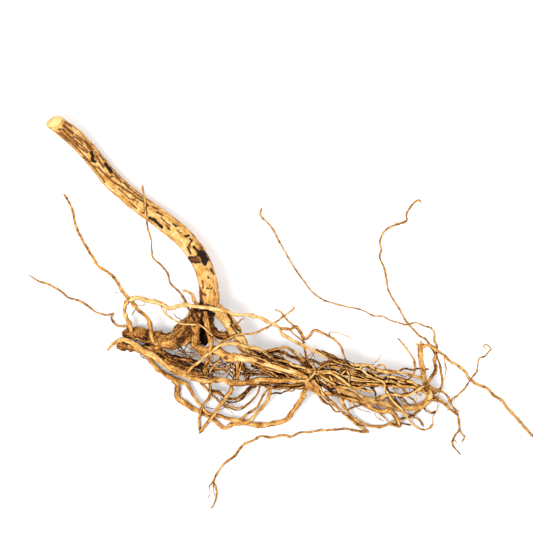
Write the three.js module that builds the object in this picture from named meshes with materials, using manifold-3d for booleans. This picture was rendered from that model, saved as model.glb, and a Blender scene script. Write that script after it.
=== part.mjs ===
// A dried melastoma root lying on a flat surface: the sawn stump of the stem, the swollen crown
// below it, and the roots and rootlets that spread from the crown. It grew as one piece of wood,
// so it is one solid: every strand is a tapering tube bent along its own route, and all of them
// are joined. Millimetres, +Z up, the surface at z = 0, the middle of the outline at x = y = 0.

import * as THREE from 'three';
import { mergeVertices } from 'three/addons/utils/BufferGeometryUtils.js';
import Module from 'manifold-3d';

// Driving dimensions
const stemAtCut = 12;           // diameter of the stem at its sawn end
const stemAtCrown = 16.5;       // and where it swells into the crown
const trunkGirth = 13.5;        // the rough, leaning stock below the crown
const limbGirth = 8.6;          // the limb that leaves the crown for the right-hand bundle
const mainRoot = 5.5;           // the thickest clean roots
const sideRoot = 2.4;           // ordinary side roots
const rootlet = 1.6;            // fine roots
const whisker = 1.2;            // long thin runners
const stepPerWidth = 1.2;         // length of a facet, in strand diameters
const shortestStep = 6.4;         // but never shorter than this
const longestStep = 12;           // nor longer than this

// Each strand: girth is a list of diameters spread evenly from its first point to its last, and
// route is the line that its middle follows, from where it grows to where it ends.
const stock = [
  { girth: [stemAtCut, 11.8, 11.4, 11.6, 11.9, 12.6, 13, 14, 13.6, 14.2, stemAtCrown, 15.5],   // stem
    route: [[-155.5, 128.4, 16], [-150.5, 124.4, 14.2], [-143, 118.6, 11.6], [-135.6, 111.2, 8.9],
      [-125.5, 99.6, 6.7], [-118, 90.2, 6], [-106.6, 79.6, 6.1], [-95, 70.5, 7],
      [-87.5, 65.3, 7.9], [-77, 57.5, 9.8], [-67.3, 48.8, 12.3], [-59.2, 38.3, 15.2],
      [-55, 30.3, 17.5], [-52, 20, 20], [-51.2, 15, 21], [-51, 6, 22.2], [-53, -1, 22]] },
  { girth: [15, trunkGirth, trunkGirth, 11.5, 8.6, 7.6, 6.8, 6.6],                  // leaning trunk
    route: [[-53, 3, 22], [-58.5, -3.5, 21.6], [-64, -10, 20], [-69.5, -15.8, 18],
      [-76, -19.6, 15.6], [-84, -18.3, 12], [-92, -16.5, 9], [-100, -14.5, 6],
      [-106, -14.4, 4], [-110, -14.5, 3.3]] },
  { girth: [11, limbGirth, 8, 7.2, 6.4, 5.4, 5, 5],                                   // limb
    route: [[-50, 5, 22], [-42.5, -1, 22.8], [-37.5, -7, 22.8], [-34, -12.5, 22.4],
      [-30.8, -18, 22], [-27.5, -24, 21.5], [-22, -28.5, 21], [-14, -31.5, 20.5],
      [-4, -34.8, 20], [6, -37.6, 20], [14, -39.6, 20], [20, -40.5, 19.6]] },
  { girth: [5, 4.2, 3.6, 3.4, 3, 2.6],                                     // core of the bundle
    route: [[18, -40, 19.6], [25, -42, 19.4], [33, -45, 18.6], [43, -47.4, 17.6],
      [54, -48.5, 16.6], [63.6, -48.5, 15.6], [74.7, -49, 14.8], [83, -49.8, 13.8],
      [90, -51.6, 11.5], [95.5, -53.5, 8]] },
];

const crownRoots = [
  { girth: [8, 6.2, 6, 5.8, 5.2, mainRoot, mainRoot, 4.4, 4, 3.8, 3.6, 3.4],   // thick pale root
    route: [[-59, -5, 19.5], [-61, -11, 18.6], [-60.7, -16.3, 18.8], [-59.6, -21.5, 19.8],
      [-56.8, -24.8, 21.4], [-52, -24.2, 23], [-47.5, -24.2, 24], [-43.5, -27, 25],
      [-38.2, -30.4, 26], [-29.3, -30.3, 27], [-20.4, -31.8, 27], [-10.7, -35.2, 26],
      [0, -38.3, 25], [7.1, -40.4, 24], [12.5, -43.4, 22.6], [16, -45.5, 21]] },
  { girth: [3.2, 2.8, 2.6, 2.2, 2, 2],                       // root down the front of the crown
    route: [[-54.6, 0, 27], [-53.9, -6.5, 25.8], [-53.6, -10.1, 25], [-51.4, -16.3, 25],
      [-50, -22.6, 26], [-50.6, -27.6, 25.4], [-52, -33, 21.5], [-53, -38.8, 17.4],
      [-52.8, -44.6, 13.4]] },
  { girth: [5, 3.6, 3.4, 3],                                      // dark root behind the limb
    route: [[-52, 1, 19], [-51.2, -6, 18.4], [-50.3, -12, 18], [-46.5, -14.6, 18],
      [-41.8, -16.6, 18.6], [-35, -17.4, 20.4]] },
  { girth: [rootlet, 1.3, 1.3, 1.3, 1.3, whisker],              // crossed twig, lower left to right
    route: [[-50, -13, 20], [-47.5, -17.5, 22.5], [-44, -19.7, 25], [-39.5, -18.8, 26.6],
      [-34, -15.8, 27], [-26.6, -14.8, 25.4], [-19.5, -13.9, 23.8], [-14.1, -11.2, 22],
      [-8.8, -8.5, 20.4], [-2.9, -4.3, 19.2], [2.4, -0.3, 18.4], [6.8, 3, 18]] },
  { girth: [1.8, 1.8, 2, 2.2, 2.4, 2.4],                             // pale root over the top
    route: [[-66, -41.4, 13.4], [-62.5, -37, 17.4], [-58, -33.6, 20.4], [-53.8, -29.6, 24],
      [-50.5, -27.2, 26.6], [-47, -24.6, 28], [-42.8, -21.8, 28.4], [-38.2, -21, 28],
      [-33.8, -21, 27], [-29.3, -22.1, 26.2], [-24.8, -23.6, 25.2], [-17.9, -24.9, 23.6],
      [-11.6, -28.5, 22.2], [-8, -31.5, 21.6]] },
  { girth: [3, 3, 2.8, 2.6],                                    // second root in the bundle
    route: [[-25.5, -24.6, 22.4], [-20, -28.4, 23], [-13.4, -30.7, 23], [-5, -34, 22.6],
      [4.5, -36.2, 22.2], [12, -37.4, 21.6], [19, -39.5, 20.4]] },
  { girth: [1.8, 1.8, 1.8],                                             // upper arc
    route: [[-13, -26.6, 21], [-6.7, -24.9, 21.6], [0, -23.7, 21.6], [5.8, -26.7, 21],
      [10.2, -31.1, 20.4], [14, -35, 20], [17, -39, 20]] },
  { girth: [1.8, 1.8, 1.8],                                              // lower arc
    route: [[-14, -29.4, 20.4], [-6.3, -26.9, 20], [-0.4, -27.8, 19.6], [4.9, -30.3, 19.6],
      [10, -33, 19.4], [15.5, -38, 19.4]] },
];

const lowerRoots = [
  { girth: [4, 3.6, 3.8, 4, 4, 4, 4.2, 4.2, 4, 3.6, 3, whisker],            // long lower root
    route: [[20, -40.5, 19.4], [17, -43.5, 18.8], [13, -45.7, 18.2], [3.6, -46, 17.6],
      [-7.1, -45.6, 17], [-16.5, -45.3, 16.6], [-25, -47.5, 16], [-35.3, -47.6, 15.5],
      [-42.4, -45.4, 14.6], [-50.6, -46.2, 13], [-58.2, -45.4, 12], [-67.1, -42.3, 11.6],
      [-76.1, -38.8, 11.2], [-83.2, -33.4, 10.8], [-89, -29.4, 10.4], [-93.8, -27.1, 10],
      [-98.2, -23.9, 9.4], [-102.7, -20.9, 8.4], [-107.1, -19, 6.8], [-111.6, -19.2, 4.4],
      [-116.2, -21.6, 2.2], [-120.8, -27.2, 0.8]] },
  { girth: [3.4, 3, 2.6],                                       // brown root under the trunk
    route: [[-79, -22, 14.5], [-78.6, -28, 12.6], [-74.3, -32, 12.6], [-65.4, -33.4, 13],
      [-58, -35.4, 14], [-52.6, -38, 17]] },
  { girth: [3, 2.6, 2.4],                                            // its tan neighbour
    route: [[-80, -28, 12.4], [-77, -34.6, 13], [-71.6, -37, 13.4], [-62.7, -38.8, 13.6],
      [-55.1, -41, 13.4], [-51, -45.6, 13.2]] },
  { girth: [4.6, 4.6, 4.6, 5, 6],                             // hollow stub and its way to the trunk
    route: [[-113.6, -23, 2.3], [-109.4, -23.5, 2.4], [-104.9, -23.5, 2.8], [-100.4, -24.2, 3.6],
      [-94, -24.6, 6], [-88, -23.6, 9.4], [-81, -21.6, 13]] },
  { girth: [3.8, 3.2, 3, 3, 3.2],                                 // outer lower root
    route: [[-102, -24, 3.2], [-96.6, -26.5, 3], [-93.5, -29.4, 2.6], [-90.8, -32.5, 2.4],
      [-86.8, -37.6, 2.6], [-79.6, -42.6, 3.2], [-72.5, -46.3, 3.8], [-64.6, -48.8, 4]] },
  { girth: [2.4, 2.3, 2.6, 2.6, 3.4, 3.4, 3.2, 3.4, 3.8, 4],              // the big hoop
    route: [[-66.5, -48.2, 4], [-63.6, -53, 4.2], [-61.3, -57.1, 4.6], [-56.9, -62.9, 5.2],
      [-52, -68.2, 6], [-44.6, -69.8, 6.2], [-35.7, -72.7, 4.8], [-26.8, -74.5, 2.8],
      [-17.9, -76.6, 1.7], [-8.9, -75.4, 2.4], [0, -73.1, 4.4], [5.4, -66.9, 8],
      [10.3, -59.7, 11.5], [13.4, -53.5, 14.5], [15, -46.5, 17.6]] },
  { girth: [3, 3.6, 3.6, 3.2, 3, 2.8, 2.6, 2.4, 2.2, 2.2, 2.2],           // the second hoop
    route: [[-75.8, -44.6, 3.6], [-73, -48.6, 2.8], [-72.5, -52.1, 2.1], [-72.9, -55.7, 1.8],
      [-72.1, -58.4, 1.8], [-68.9, -60.6, 1.8], [-61.8, -65.5, 1.7], [-54.6, -68.6, 1.8],
      [-50.2, -71.3, 1.8], [-46.6, -74, 1.6], [-43, -77.4, 1.3], [-40.4, -78.8, 1.3],
      [-37.8, -77, 1.6], [-35.7, -76, 2], [-31.3, -75.6, 3], [-27, -75, 4],
      [-24.4, -73.8, 4.8], [-20.5, -69.6, 6.5], [-15.2, -63.8, 9], [-11.2, -57.9, 11],
      [-9.4, -51, 13]] },
  { girth: [2.2, 2, 2, 1.8],                                        // prop down to the left
    route: [[-51, -45.5, 12.4], [-50.2, -53, 9], [-51, -57.6, 7.6], [-55.1, -62, 7],
      [-57, -68.2, 5], [-58.2, -73.6, 2.6], [-57.2, -81.6, 0.9]] },
  { girth: [2.6, sideRoot, sideRoot, 2],                            // prop over both hoops
    route: [[-36.2, -46.5, 14.4], [-36.4, -52, 13], [-39.7, -57.1, 12.2], [-43.8, -62.9, 10.8],
      [-48.2, -69.6, 8.6], [-52.4, -74.5, 5.4], [-58, -82, 1]] },
  { girth: [2, 2, 2, 2],                                                 // sagging root
    route: [[-59, -44.8, 11], [-55, -49.4, 9.6], [-50.6, -53.4, 8.6], [-44.2, -54.8, 8.6],
      [-39.3, -57.9, 8.6], [-31.3, -58, 9], [-26.8, -54.8, 10], [-22.3, -50.4, 12],
      [-15, -48.6, 13.6]] },
  { girth: [1.4, 1.3, 1.3, 1.4],                                     // thinner sagging root
    route: [[-51, -54.5, 8], [-47.3, -57.5, 7.4], [-41.1, -61.5, 7], [-35.3, -64.4, 7],
      [-28.1, -64, 7.6], [-23.2, -60.2, 9], [-19.2, -55.7, 10.6], [-16.5, -49.2, 13]] },
  { girth: [1.6, 1.4, 1.4],                                           // rootlet off the hoop
    route: [[-32, -74, 3.6], [-25.9, -69.1, 6], [-18.9, -64.2, 8.4], [-14.4, -55.7, 11],
      [-10.3, -50.4, 13]] },
  { girth: [2.4, 2.2, 2.2, 2.6],                                  // strand beside the long root
    route: [[-19, -46.2, 15], [-11.6, -47.4, 14.6], [-2.7, -48.6, 14.4], [7, -49, 15],
      [15, -46.6, 17.2]] },
  { girth: [2.4, 2.6, 2.6, 2.8],                                      // lowest strand of all
    route: [[-17.5, -48, 13.6], [-8.5, -50.6, 12.8], [-2.7, -50.8, 12.8], [5, -50.8, 13.4],
      [11.6, -50, 14.8], [16, -45.5, 17.6]] },
];

const leftRunners = [
  { girth: [2.6, 2.8, 3, 2.6, 2.2, 2.3, 2.3, 2.2, 2, 2, 2, 1.8, 1.6],          // pale cross root
    route: [[-105, 8, 16], [-99.6, 9.8, 17], [-93.8, 8, 18.4], [-87.5, 7, 20],
      [-82.1, 5.1, 21.2], [-78.1, 2.6, 22], [-72.3, 4.2, 24], [-67, 5, 26.2],
      [-62.5, 4.2, 28.4], [-56.1, 3.3, 30.2], [-51.6, 2.9, 30.8], [-47.1, 2, 30.6],
      [-42.7, 1.1, 29.6], [-38.2, 0, 28.4], [-33.8, -1.6, 27.2], [-25.7, -1.8, 25.4],
      [-17.7, -3.4, 24.2], [-11.4, -6.5, 23.8], [-5.2, -9.6, 23.6], [-1.2, -15, 23.6],
      [6.6, -19.9, 23.8], [16.4, -24.4, 24], [25.4, -28.8, 24], [33.4, -32, 23.6],
      [41.3, -34.6, 22.4], [49.3, -38.3, 20.4], [53, -42.5, 18.8]] },
  { girth: [2.2, 2, 2, 2, 1.8, rootlet],                                      // long upper runner
    route: [[-104.4, 8, 16], [-110.2, 15.5, 16.5], [-113.8, 21.7, 17], [-118.9, 26.6, 17],
      [-125.7, 31, 17], [-129.3, 36.7, 16.8], [-133.4, 43.4, 16.6], [-137.6, 50.8, 16.2],
      [-140.8, 58, 16], [-143, 68, 15.4], [-146.6, 75.8, 15], [-149.2, 79.8, 15]] },
  { girth: [2.6, 2.6, 2.8, 3],                                                 // outer arch
    route: [[-105, 8.6, 16], [-107.5, 5, 15], [-108, 0.2, 13.4], [-106.4, -4.5, 11.4],
      [-104.3, -9.6, 9.4], [-103.4, -14.6, 7.4]] },
  { girth: [2.4, sideRoot, sideRoot, 2.6],                                      // inner arch
    route: [[-104, 7.6, 16], [-98.7, 1.5, 17], [-92.9, -3.8, 17.6], [-90.6, -9.6, 17.4],
      [-90, -16.3, 16], [-86.4, -21.2, 14.6], [-80, -22, 14.6]] },
  { girth: [1.4, whisker, whisker, whisker, whisker],                         // floor runner
    route: [[-104.5, -12.6, 6], [-107.1, -9.7, 5], [-110.3, -9.7, 4], [-113.4, -9.2, 3],
      [-116.4, -6, 1.8], [-117.2, -3, 1.2], [-115.6, -1, 0.9], [-120.5, -2, 0.7],
      [-128, 0, 0.6], [-132.8, 3.9, 0.7], [-140.6, 8.2, 0.7], [-146, 9.4, 0.7],
      [-150, 13, 0.7], [-160.5, 19, 0.7], [-165.4, 20.4, 0.6], [-173.2, 25, 0.6]] },
  { girth: [1.6, 1.4, 1.3, whisker, 1.1, 1],                          // thin runner over the stem
    route: [[-60.5, -3, 24], [-65.2, 2.9, 23], [-67.4, 8.2, 22], [-71, 13.6, 20.4],
      [-77, 19.4, 18.4], [-79.3, 26.5, 17], [-83.9, 32, 15.8], [-88.6, 36, 15],
      [-89.9, 43, 14.6], [-89.9, 47.6, 14.4], [-92.2, 55.6, 14.2], [-93.6, 64.6, 14],
      [-94.6, 74.6, 14], [-96.2, 85.7, 14.4]] },
  { girth: [2.4, 1.8, rootlet],                                                  // short hook
    route: [[-57.5, 4.4, 25], [-61, 7.4, 25.6], [-62.2, 11.4, 25.2], [-65, 13.6, 24],
      [-69, 14.8, 23]] },
];

const rightRoots = [
  { girth: [4.6, 4.8, 4.8, 4.8, 4.6, 4.4, 4.2, 4.6, 4, 3.4, 3, 2.8],      // root with the turn
    route: [[30, -45.5, 18], [35, -50.6, 15.4], [39, -53, 14], [43.5, -55.3, 12.8],
      [47.9, -57.5, 11.5], [56.9, -59.3, 9.2], [65.8, -61.5, 7.3], [74.7, -64, 5.5],
      [83.4, -64.6, 4], [91, -63.6, 2.8], [95.9, -60.2, 2.3], [98.2, -56.2, 2.4],
      [97.6, -52.9, 4.6], [95.6, -49.6, 8.6], [93.9, -45.4, 12.6], [93.2, -41, 15.6],
      [92.1, -36.4, 18], [91.3, -31, 20], [91, -24.9, 21.4], [90.6, -21, 22]] },
  { girth: [3.6, 3.4, 3, 2.6, 2.4],                                           // spur below it
    route: [[36, -51.8, 14.6], [41.3, -57.1, 11], [50.2, -60.6, 8], [58.2, -64.6, 5],
      [65.8, -67, 3.2], [70.6, -67.2, 2.4], [74.7, -71.3, 1.6], [78, -77.8, 1.2]] },
  { girth: [5.4, 5.2, 4.6],                                                   // blunt pale stub
    route: [[13.5, -43.5, 19.8], [15.5, -48, 18.8], [20, -52.6, 17], [25, -56, 15.2]] },
  { girth: [2.8, 2.6, 2.2, 2, 1.8],                                           // root to the floor
    route: [[18, -44, 18.8], [21, -49, 17], [24, -53, 14.5], [27.5, -57.6, 11],
      [32.3, -61.5, 8.5], [37.7, -66.4, 6], [42.6, -70.9, 4], [48.4, -75.8, 2.2],
      [53.3, -78.8, 1.2], [56.2, -81, 0.9]] },
  { girth: [1.8, 1.5, 1.4, 1.4, 1.4, 1.5, 1.5, 1.4, 1.3, 1],                // long floor runner
    route: [[56.6, -81, 0.9], [52, -80.7, 1], [45.7, -79.8, 1.4], [39.9, -78.8, 1.8],
      [32.3, -79.6, 2.2], [23.4, -80, 2.4], [16.7, -81.1, 2.4], [9.7, -81.4, 2.2],
      [3.6, -84.3, 2], [-0.9, -83.2, 1.8], [-9.8, -84.6, 1.6], [-16.6, -83.9, 1.3],
      [-21, -86.3, 1.1], [-28, -89.4, 1], [-31.2, -93.4, 0.9], [-34.2, -97.3, 0.9],
      [-40.6, -102, 0.9], [-45.6, -108.6, 0.8], [-48, -114.8, 0.7], [-46.3, -119.5, 0.7],
      [-46.4, -125, 0.7], [-49, -131.5, 0.6], [-50.4, -132.6, 0.6]] },
  { girth: [1.3, 1],                                                       // fork of its tail
    route: [[-47.4, -112.6, 0.8], [-50.5, -117, 0.7], [-52.6, -118.6, 0.6]] },
  { girth: [2.4, 2.2, 2, 2, 1.8, 1.6],                                     // low curving root
    route: [[32.5, -44.5, 18.4], [34.6, -50.6, 15.4], [37.7, -58.4, 10.5], [41.3, -66.4, 7],
      [45.3, -70.9, 5], [51.5, -74.9, 3.2], [58.7, -77.1, 2], [64.9, -77.4, 1.4],
      [71.2, -74.9, 1.4], [78.8, -72.2, 1.8], [85.2, -70.4, 1.8], [91.5, -66, 1.8]] },
  { girth: [1.8, 1.8, 1.8, 1.8],                                          // pale strand on top
    route: [[20, -41.4, 21], [27.9, -40.8, 22], [31.8, -41.2, 22.2], [37.7, -45, 21.6],
      [43, -49, 20], [48.4, -54.4, 15.6], [53.5, -58.8, 10.4]] },
  { girth: [2.2, 2, 2, 1.8, 1.8, 1.8],                                    // middle strand
    route: [[18, -38.6, 20.4], [25.6, -38.8, 20.4], [35, -40.2, 20], [43.9, -43.2, 19],
      [52.9, -45.4, 18], [61.8, -46, 17.2], [72.5, -46.4, 16.2], [82.5, -46.8, 15],
      [87.9, -49, 13.6], [93.5, -50.4, 10.2]] },
  { girth: [1.8, 1.8, 1.8, 1.8, 1.8],                                      // upper strand
    route: [[39, -34.2, 22.6], [47.5, -35.8, 22], [56, -35.8, 21], [61.8, -38.8, 20],
      [72, -39.6, 19], [80, -41, 18], [87.9, -43.4, 16], [94, -44.8, 13.4]] },
  { girth: [1.6, rootlet, 1.4],                                           // its link to the waist
    route: [[20, -39, 20], [26.5, -36.2, 20.6], [32.3, -35.4, 21], [38, -38.4, 21],
      [47, -42.2, 20], [56, -44.8, 18.6], [66, -44.2, 18], [75, -44.2, 17], [83, -46.2, 15.4]] },
  { girth: [2, 1.8, 1.8, 1.9, 2, 2, 1.6],                                 // dark knobbly strand
    route: [[60, -59.8, 8.8], [65, -57, 10.8], [74.7, -55.8, 12], [82.9, -55.2, 13],
      [89.6, -52.1, 14], [95, -48.6, 15.4], [98.6, -43.7, 16.8], [101.5, -39.2, 18],
      [100.6, -33, 19], [101.2, -29.6, 19.6], [102.7, -24.9, 19.4]] },
  { girth: [2, 2, 1.8, 1.6, 1.4, whisker],                                // forked strand, tied twig
    route: [[-4.4, -10.8, 23.2], [3.5, -11.4, 21.6], [7.9, -9.8, 20.4], [10.6, -14.1, 19.2],
      [13.8, -18, 18.2], [16.9, -15.4, 18], [19.6, -12.2, 18.2], [25.4, -14.3, 18.8],
      [31.6, -17.5, 19.4], [37, -22.1, 20.2], [39.6, -28.8, 21], [42, -35.2, 21.6]] },
  { girth: [whisker, 1.3, 1.4, 1.6],                                         // crossed twig, falling
    route: [[-7, 1.8, 20.6], [-3, 0.2, 20.4], [0.4, -4, 19.9], [3.3, -7, 19.4],
      [8.4, -11.6, 19], [11.6, -17, 18.4], [12.6, -22.6, 18.4], [14, -28.8, 18.8],
      [15.3, -34.6, 19.2], [17, -39, 19.6]] },
  { girth: [1, 1.25, 1.3, 1.4],                                           // thin loop above it
    route: [[75.8, -17.5, 21], [80, -22.4, 20.4], [83.6, -27.1, 19.8], [86.7, -32.1, 19.2],
      [87.4, -38, 18.4], [85.4, -43, 17], [81, -46.6, 15.6]] },
];

const farWhiskers = [
  { girth: [1.6, 1.2, 1.1, 1.1, 1, 1, 1, 1, 1.1, 1.2],                        // long upper whisker
    route: [[102.5, -26.4, 19.6], [101.9, -21.8, 18.4], [100.5, -19.2, 17.2], [100.7, -14.6, 15.4],
      [98.8, -11.2, 14], [93.8, -9.3, 12], [88, -7.2, 10.4], [82, -8.6, 8.8],
      [76.4, -7, 7.8], [70.2, -5.4, 6.8], [66.8, -3.1, 6.2], [59.5, -2.5, 5.4],
      [55, 0, 4.8], [48.5, 2.3, 4.4], [42, 3.5, 4], [33, 5.8, 3.4],
      [26, 8.2, 3], [19, 13, 2.6], [14, 19, 2.4], [6.6, 29.3, 2],
      [0, 40.3, 1.6], [-5, 49.5, 1.3], [-8, 55.4, 1], [-11.2, 59.5, 0.8],
      [-16.6, 65.5, 0.7], [-15.9, 70.3, 0.6]] },
  { girth: [1.8, 1.5, 1.4, 1.4, 1.4, 1.3, 1.4, 1.4, 1.4, 1.4],                // tall right whisker
    route: [[98, -54.5, 4], [101.3, -54.2, 4.6], [104.6, -51.8, 5.6], [106.1, -46.8, 7.4],
      [105, -39.6, 10.6], [103.7, -33.3, 13], [101, -27.8, 15], [98.2, -23.6, 16],
      [95.2, -18.6, 16], [90.3, -15.7, 15.2], [86, -11.4, 13.8], [81.2, -5.8, 12.4],
      [78, 0.5, 11.4], [75, 5.5, 10.4], [71.5, 11, 9.6], [69.2, 16, 9],
      [68.5, 22, 8.6], [66.8, 30, 8], [63.8, 37, 7.6], [65, 42.2, 7.4],
      [64, 46.6, 7.2], [67.4, 55, 7], [75.8, 59.1, 6.8], [82, 61.6, 6.6],
      [82, 66.4, 6.4], [84, 70, 6.2], [89.8, 75.5, 5.8], [92, 73.8, 5.4]] },
  { girth: [2.4, 2, 1.9, 1.9, 1.9, 1.9, 1.9, 1.8, 1.3],                 // whisker at lower right
    route: [[91, -24, 21.4], [96.5, -22.1, 22], [102, -25.7, 21.6], [107, -29.1, 20.6],
      [111.4, -33.4, 19.2], [116, -35.6, 17.8], [121.6, -40.4, 15.8], [124, -44.8, 14.4],
      [130, -48.8, 12.4], [136, -51.3, 10.4], [141, -56.3, 8.2], [146.5, -60, 6.2],
      [150.3, -65.2, 4.8], [155.5, -70.5, 3.6], [159, -75, 2.8], [163.2, -79.5, 2],
      [166.5, -83.2, 1.5], [170.4, -85.4, 1.2], [173.1, -87.6, 0.9]] },
  { girth: [1.9, 1.6, 1.6, 1.4, 1.2, 1],                              // forked whisker
    route: [[94.5, -48.6, 9.4], [98.6, -51.3, 8.8], [103.9, -52.8, 7.8], [109.3, -56.2, 6.4],
      [111.5, -61.5, 5], [116, -67.8, 3.4], [117.3, -74, 2.6], [117.4, -79.8, 2],
      [114.6, -83.5, 1.6], [112.8, -88.4, 1], [118.5, -96.4, 0.6]] },
  { girth: [1.3, 1],                                                            // and its fork
    route: [[117.4, -78.6, 2], [119.1, -82.1, 1.8], [121.1, -84.6, 1.4], [119, -88, 1]] },
  { girth: [1.4, 1.1, 1.1, 1, 0.9],                                             // curled whisker
    route: [[111.6, -62.6, 4.8], [112.4, -59.2, 4.8], [116.9, -55.8, 5], [120.4, -52.4, 5.4],
      [124.5, -46.3, 6], [129.4, -39.6, 6], [130.9, -31.4, 5], [135.2, -30, 4.5],
      [137.9, -25.4, 4], [136.5, -22.4, 3.6], [134.4, -23.8, 3.2]] },
  { girth: [2.2, rootlet, rootlet],                                             // short tie
    route: [[96.5, -58.5, 3], [103, -59.6, 4], [108.4, -62.9, 4], [112.9, -66.9, 3.8],
      [116.6, -69.5, 3.2]] },
  { girth: [rootlet, rootlet, 1.4, 1.2, 0.9],                             // drop below the bundle
    route: [[58, -45.6, 17.6], [64, -46.8, 15.4], [67.4, -51.3, 12], [69.8, -55.9, 10.4],
      [73.4, -60.6, 9], [78.3, -65.1, 7.4], [83.4, -72.2, 4], [87.9, -77.4, 1.6],
      [95.4, -79.5, 0.8], [99.5, -75.4, 1]] },
];

const strands = [...stock, ...crownRoots, ...lowerRoots, ...leftRunners, ...rightRoots, ...farWhiskers];

// Number of flat sides round a strand of this diameter.
function sidesFor(diameter) {
  if (diameter > 9) return 12;
  if (diameter > 4.5) return 8;
  return diameter > 2.1 ? 6 : 5;
}

// Diameter at a share, 0 to 1, of the strand's length.
function girthAt(girth, share) {
  const place = share * (girth.length - 1);
  const below = Math.min(Math.floor(place), girth.length - 2);
  return THREE.MathUtils.lerp(girth[below], girth[below + 1], place - below);
}

// A closed cylinder of unit radius, bent along the route and given the strand's girth.
function strandGeometry({ girth, route }) {
  const curve = new THREE.CatmullRomCurve3(route.map((p) => new THREE.Vector3(...p)), false, 'centripetal');
  const widest = Math.max(...girth);
  const step = THREE.MathUtils.clamp(widest * stepPerWidth, shortestStep, longestStep);
  const steps = Math.max(3, Math.round(curve.getLength() / step));
  const frames = curve.computeFrenetFrames(steps, false);
  const geometry = new THREE.CylinderGeometry(1, 1, 1, sidesFor(widest), steps);
  const position = geometry.attributes.position;
  const across = new THREE.Vector3();
  for (let i = 0; i < position.count; i++) {
    const ring = Math.round((position.getY(i) + 0.5) * steps);
    const radius = girthAt(girth, ring / steps) / 2;
    const point = curve.getPointAt(ring / steps);
    point.addScaledVector(frames.normals[ring], position.getX(i) * radius);
    across.crossVectors(frames.normals[ring], frames.tangents[ring]);
    point.addScaledVector(across, position.getZ(i) * radius);
    position.setXYZ(i, point.x, point.y, point.z);
  }
  return geometry;
}

const wasm = await Module();
wasm.setup();

function toManifold(geometry) {
  geometry.deleteAttribute('normal');
  geometry.deleteAttribute('uv');
  const merged = mergeVertices(geometry, 1e-5);
  return new wasm.Manifold(new wasm.Mesh({
    numProp: 3,
    vertProperties: new Float32Array(merged.attributes.position.array),
    triVerts: new Uint32Array(merged.index.array),
  }));
}

function toGeometry(manifold) {
  const mesh = manifold.getMesh();
  const geometry = new THREE.BufferGeometry();
  geometry.setAttribute('position', new THREE.BufferAttribute(mesh.vertProperties, 3));
  geometry.setIndex(new THREE.BufferAttribute(mesh.triVerts, 1));
  geometry.computeVertexNormals();
  return geometry;
}

// All strands joined into the one piece that grew.
function joinedRoot() {
  let joined = toManifold(strandGeometry(strands[0]));
  for (const strand of strands.slice(1)) {
    joined = joined.add(toManifold(strandGeometry(strand)));
  }
  return toGeometry(joined);
}

const driedWood = new THREE.MeshStandardMaterial({ color: 0xd09a52, roughness: 0.78, metalness: 0 });

const root = new THREE.Mesh(joinedRoot(), driedWood);
root.name = 'melastoma_root';

const part = new THREE.Group();
part.add(root);

export default part;
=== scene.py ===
import math
import random

import bpy
import numpy as np
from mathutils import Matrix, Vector, noise
from mathutils.bvhtree import BVHTree


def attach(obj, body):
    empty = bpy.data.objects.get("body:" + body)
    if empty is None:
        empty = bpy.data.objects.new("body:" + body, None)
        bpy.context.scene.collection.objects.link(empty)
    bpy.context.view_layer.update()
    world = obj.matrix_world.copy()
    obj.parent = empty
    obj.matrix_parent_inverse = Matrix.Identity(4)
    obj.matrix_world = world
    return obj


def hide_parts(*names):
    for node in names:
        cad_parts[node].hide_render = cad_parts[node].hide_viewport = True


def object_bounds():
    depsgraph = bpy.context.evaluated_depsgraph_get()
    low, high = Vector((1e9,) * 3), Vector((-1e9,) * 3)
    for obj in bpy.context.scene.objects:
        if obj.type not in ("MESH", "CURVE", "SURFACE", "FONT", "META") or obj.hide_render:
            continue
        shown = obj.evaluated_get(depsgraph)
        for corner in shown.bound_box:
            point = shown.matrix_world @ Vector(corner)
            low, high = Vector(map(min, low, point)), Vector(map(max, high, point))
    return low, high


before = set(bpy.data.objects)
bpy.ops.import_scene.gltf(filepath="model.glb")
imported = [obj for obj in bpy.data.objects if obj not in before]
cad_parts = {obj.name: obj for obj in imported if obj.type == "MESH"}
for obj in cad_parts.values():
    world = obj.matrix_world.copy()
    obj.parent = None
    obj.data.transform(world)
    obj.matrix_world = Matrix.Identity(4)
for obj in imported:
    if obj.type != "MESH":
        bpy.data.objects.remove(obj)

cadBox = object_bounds()
mm = 0.001
dice = random.Random(47)
noise.seed_set(47)       # without it the roots wander differently each time
print("frame loaded, CAD box", [round(v, 4) for corner in cadBox for v in corner])

view = {
    "centre": (-0.0125, 0.0307),
    "height": 6.0,
    "width": 0.3598,      # side to side at the floor
    "sensor": 36.0,
}
cameraData = bpy.data.cameras.new("topCamera")
cameraData.sensor_width = view["sensor"]
cameraData.lens = view["sensor"] * view["height"] / view["width"]
cameraData.clip_end = 50
camera = bpy.data.objects.new("topCamera", cameraData)
camera.location = (*view["centre"], view["height"])
bpy.context.scene.collection.objects.link(camera)
bpy.context.scene.camera = camera
print("camera set")

studio = {
    "floorSize": 24.0,
    "floorColour": (0.90, 0.90, 0.90, 1),
    "floorGlow": 0.09,          # keeps the ground pale between the roots
    "skyForLight": 0.98,        # how much the sky lights the object
    "skyForCamera": 1.0,        # how bright the backdrop looks
    "keyPlace": (-1.3, -0.7, 2.9),
    "keySize": 1.1,
    "keyPower": 46,
}


def deselectAll():
    for thing in list(bpy.context.selected_objects):
        thing.select_set(False)


def makeActive(piece):
    deselectAll()
    piece.select_set(True)
    bpy.context.view_layer.objects.active = piece


def addNode(tree, kind, place, settings=None, **inputs):
    node = tree.nodes.new(kind)
    node.location = place
    for key, value in (settings or {}).items():
        setattr(node, key, value)
    for key, value in inputs.items():
        node.inputs[key.replace("_", " ")].default_value = value
    return node


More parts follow.
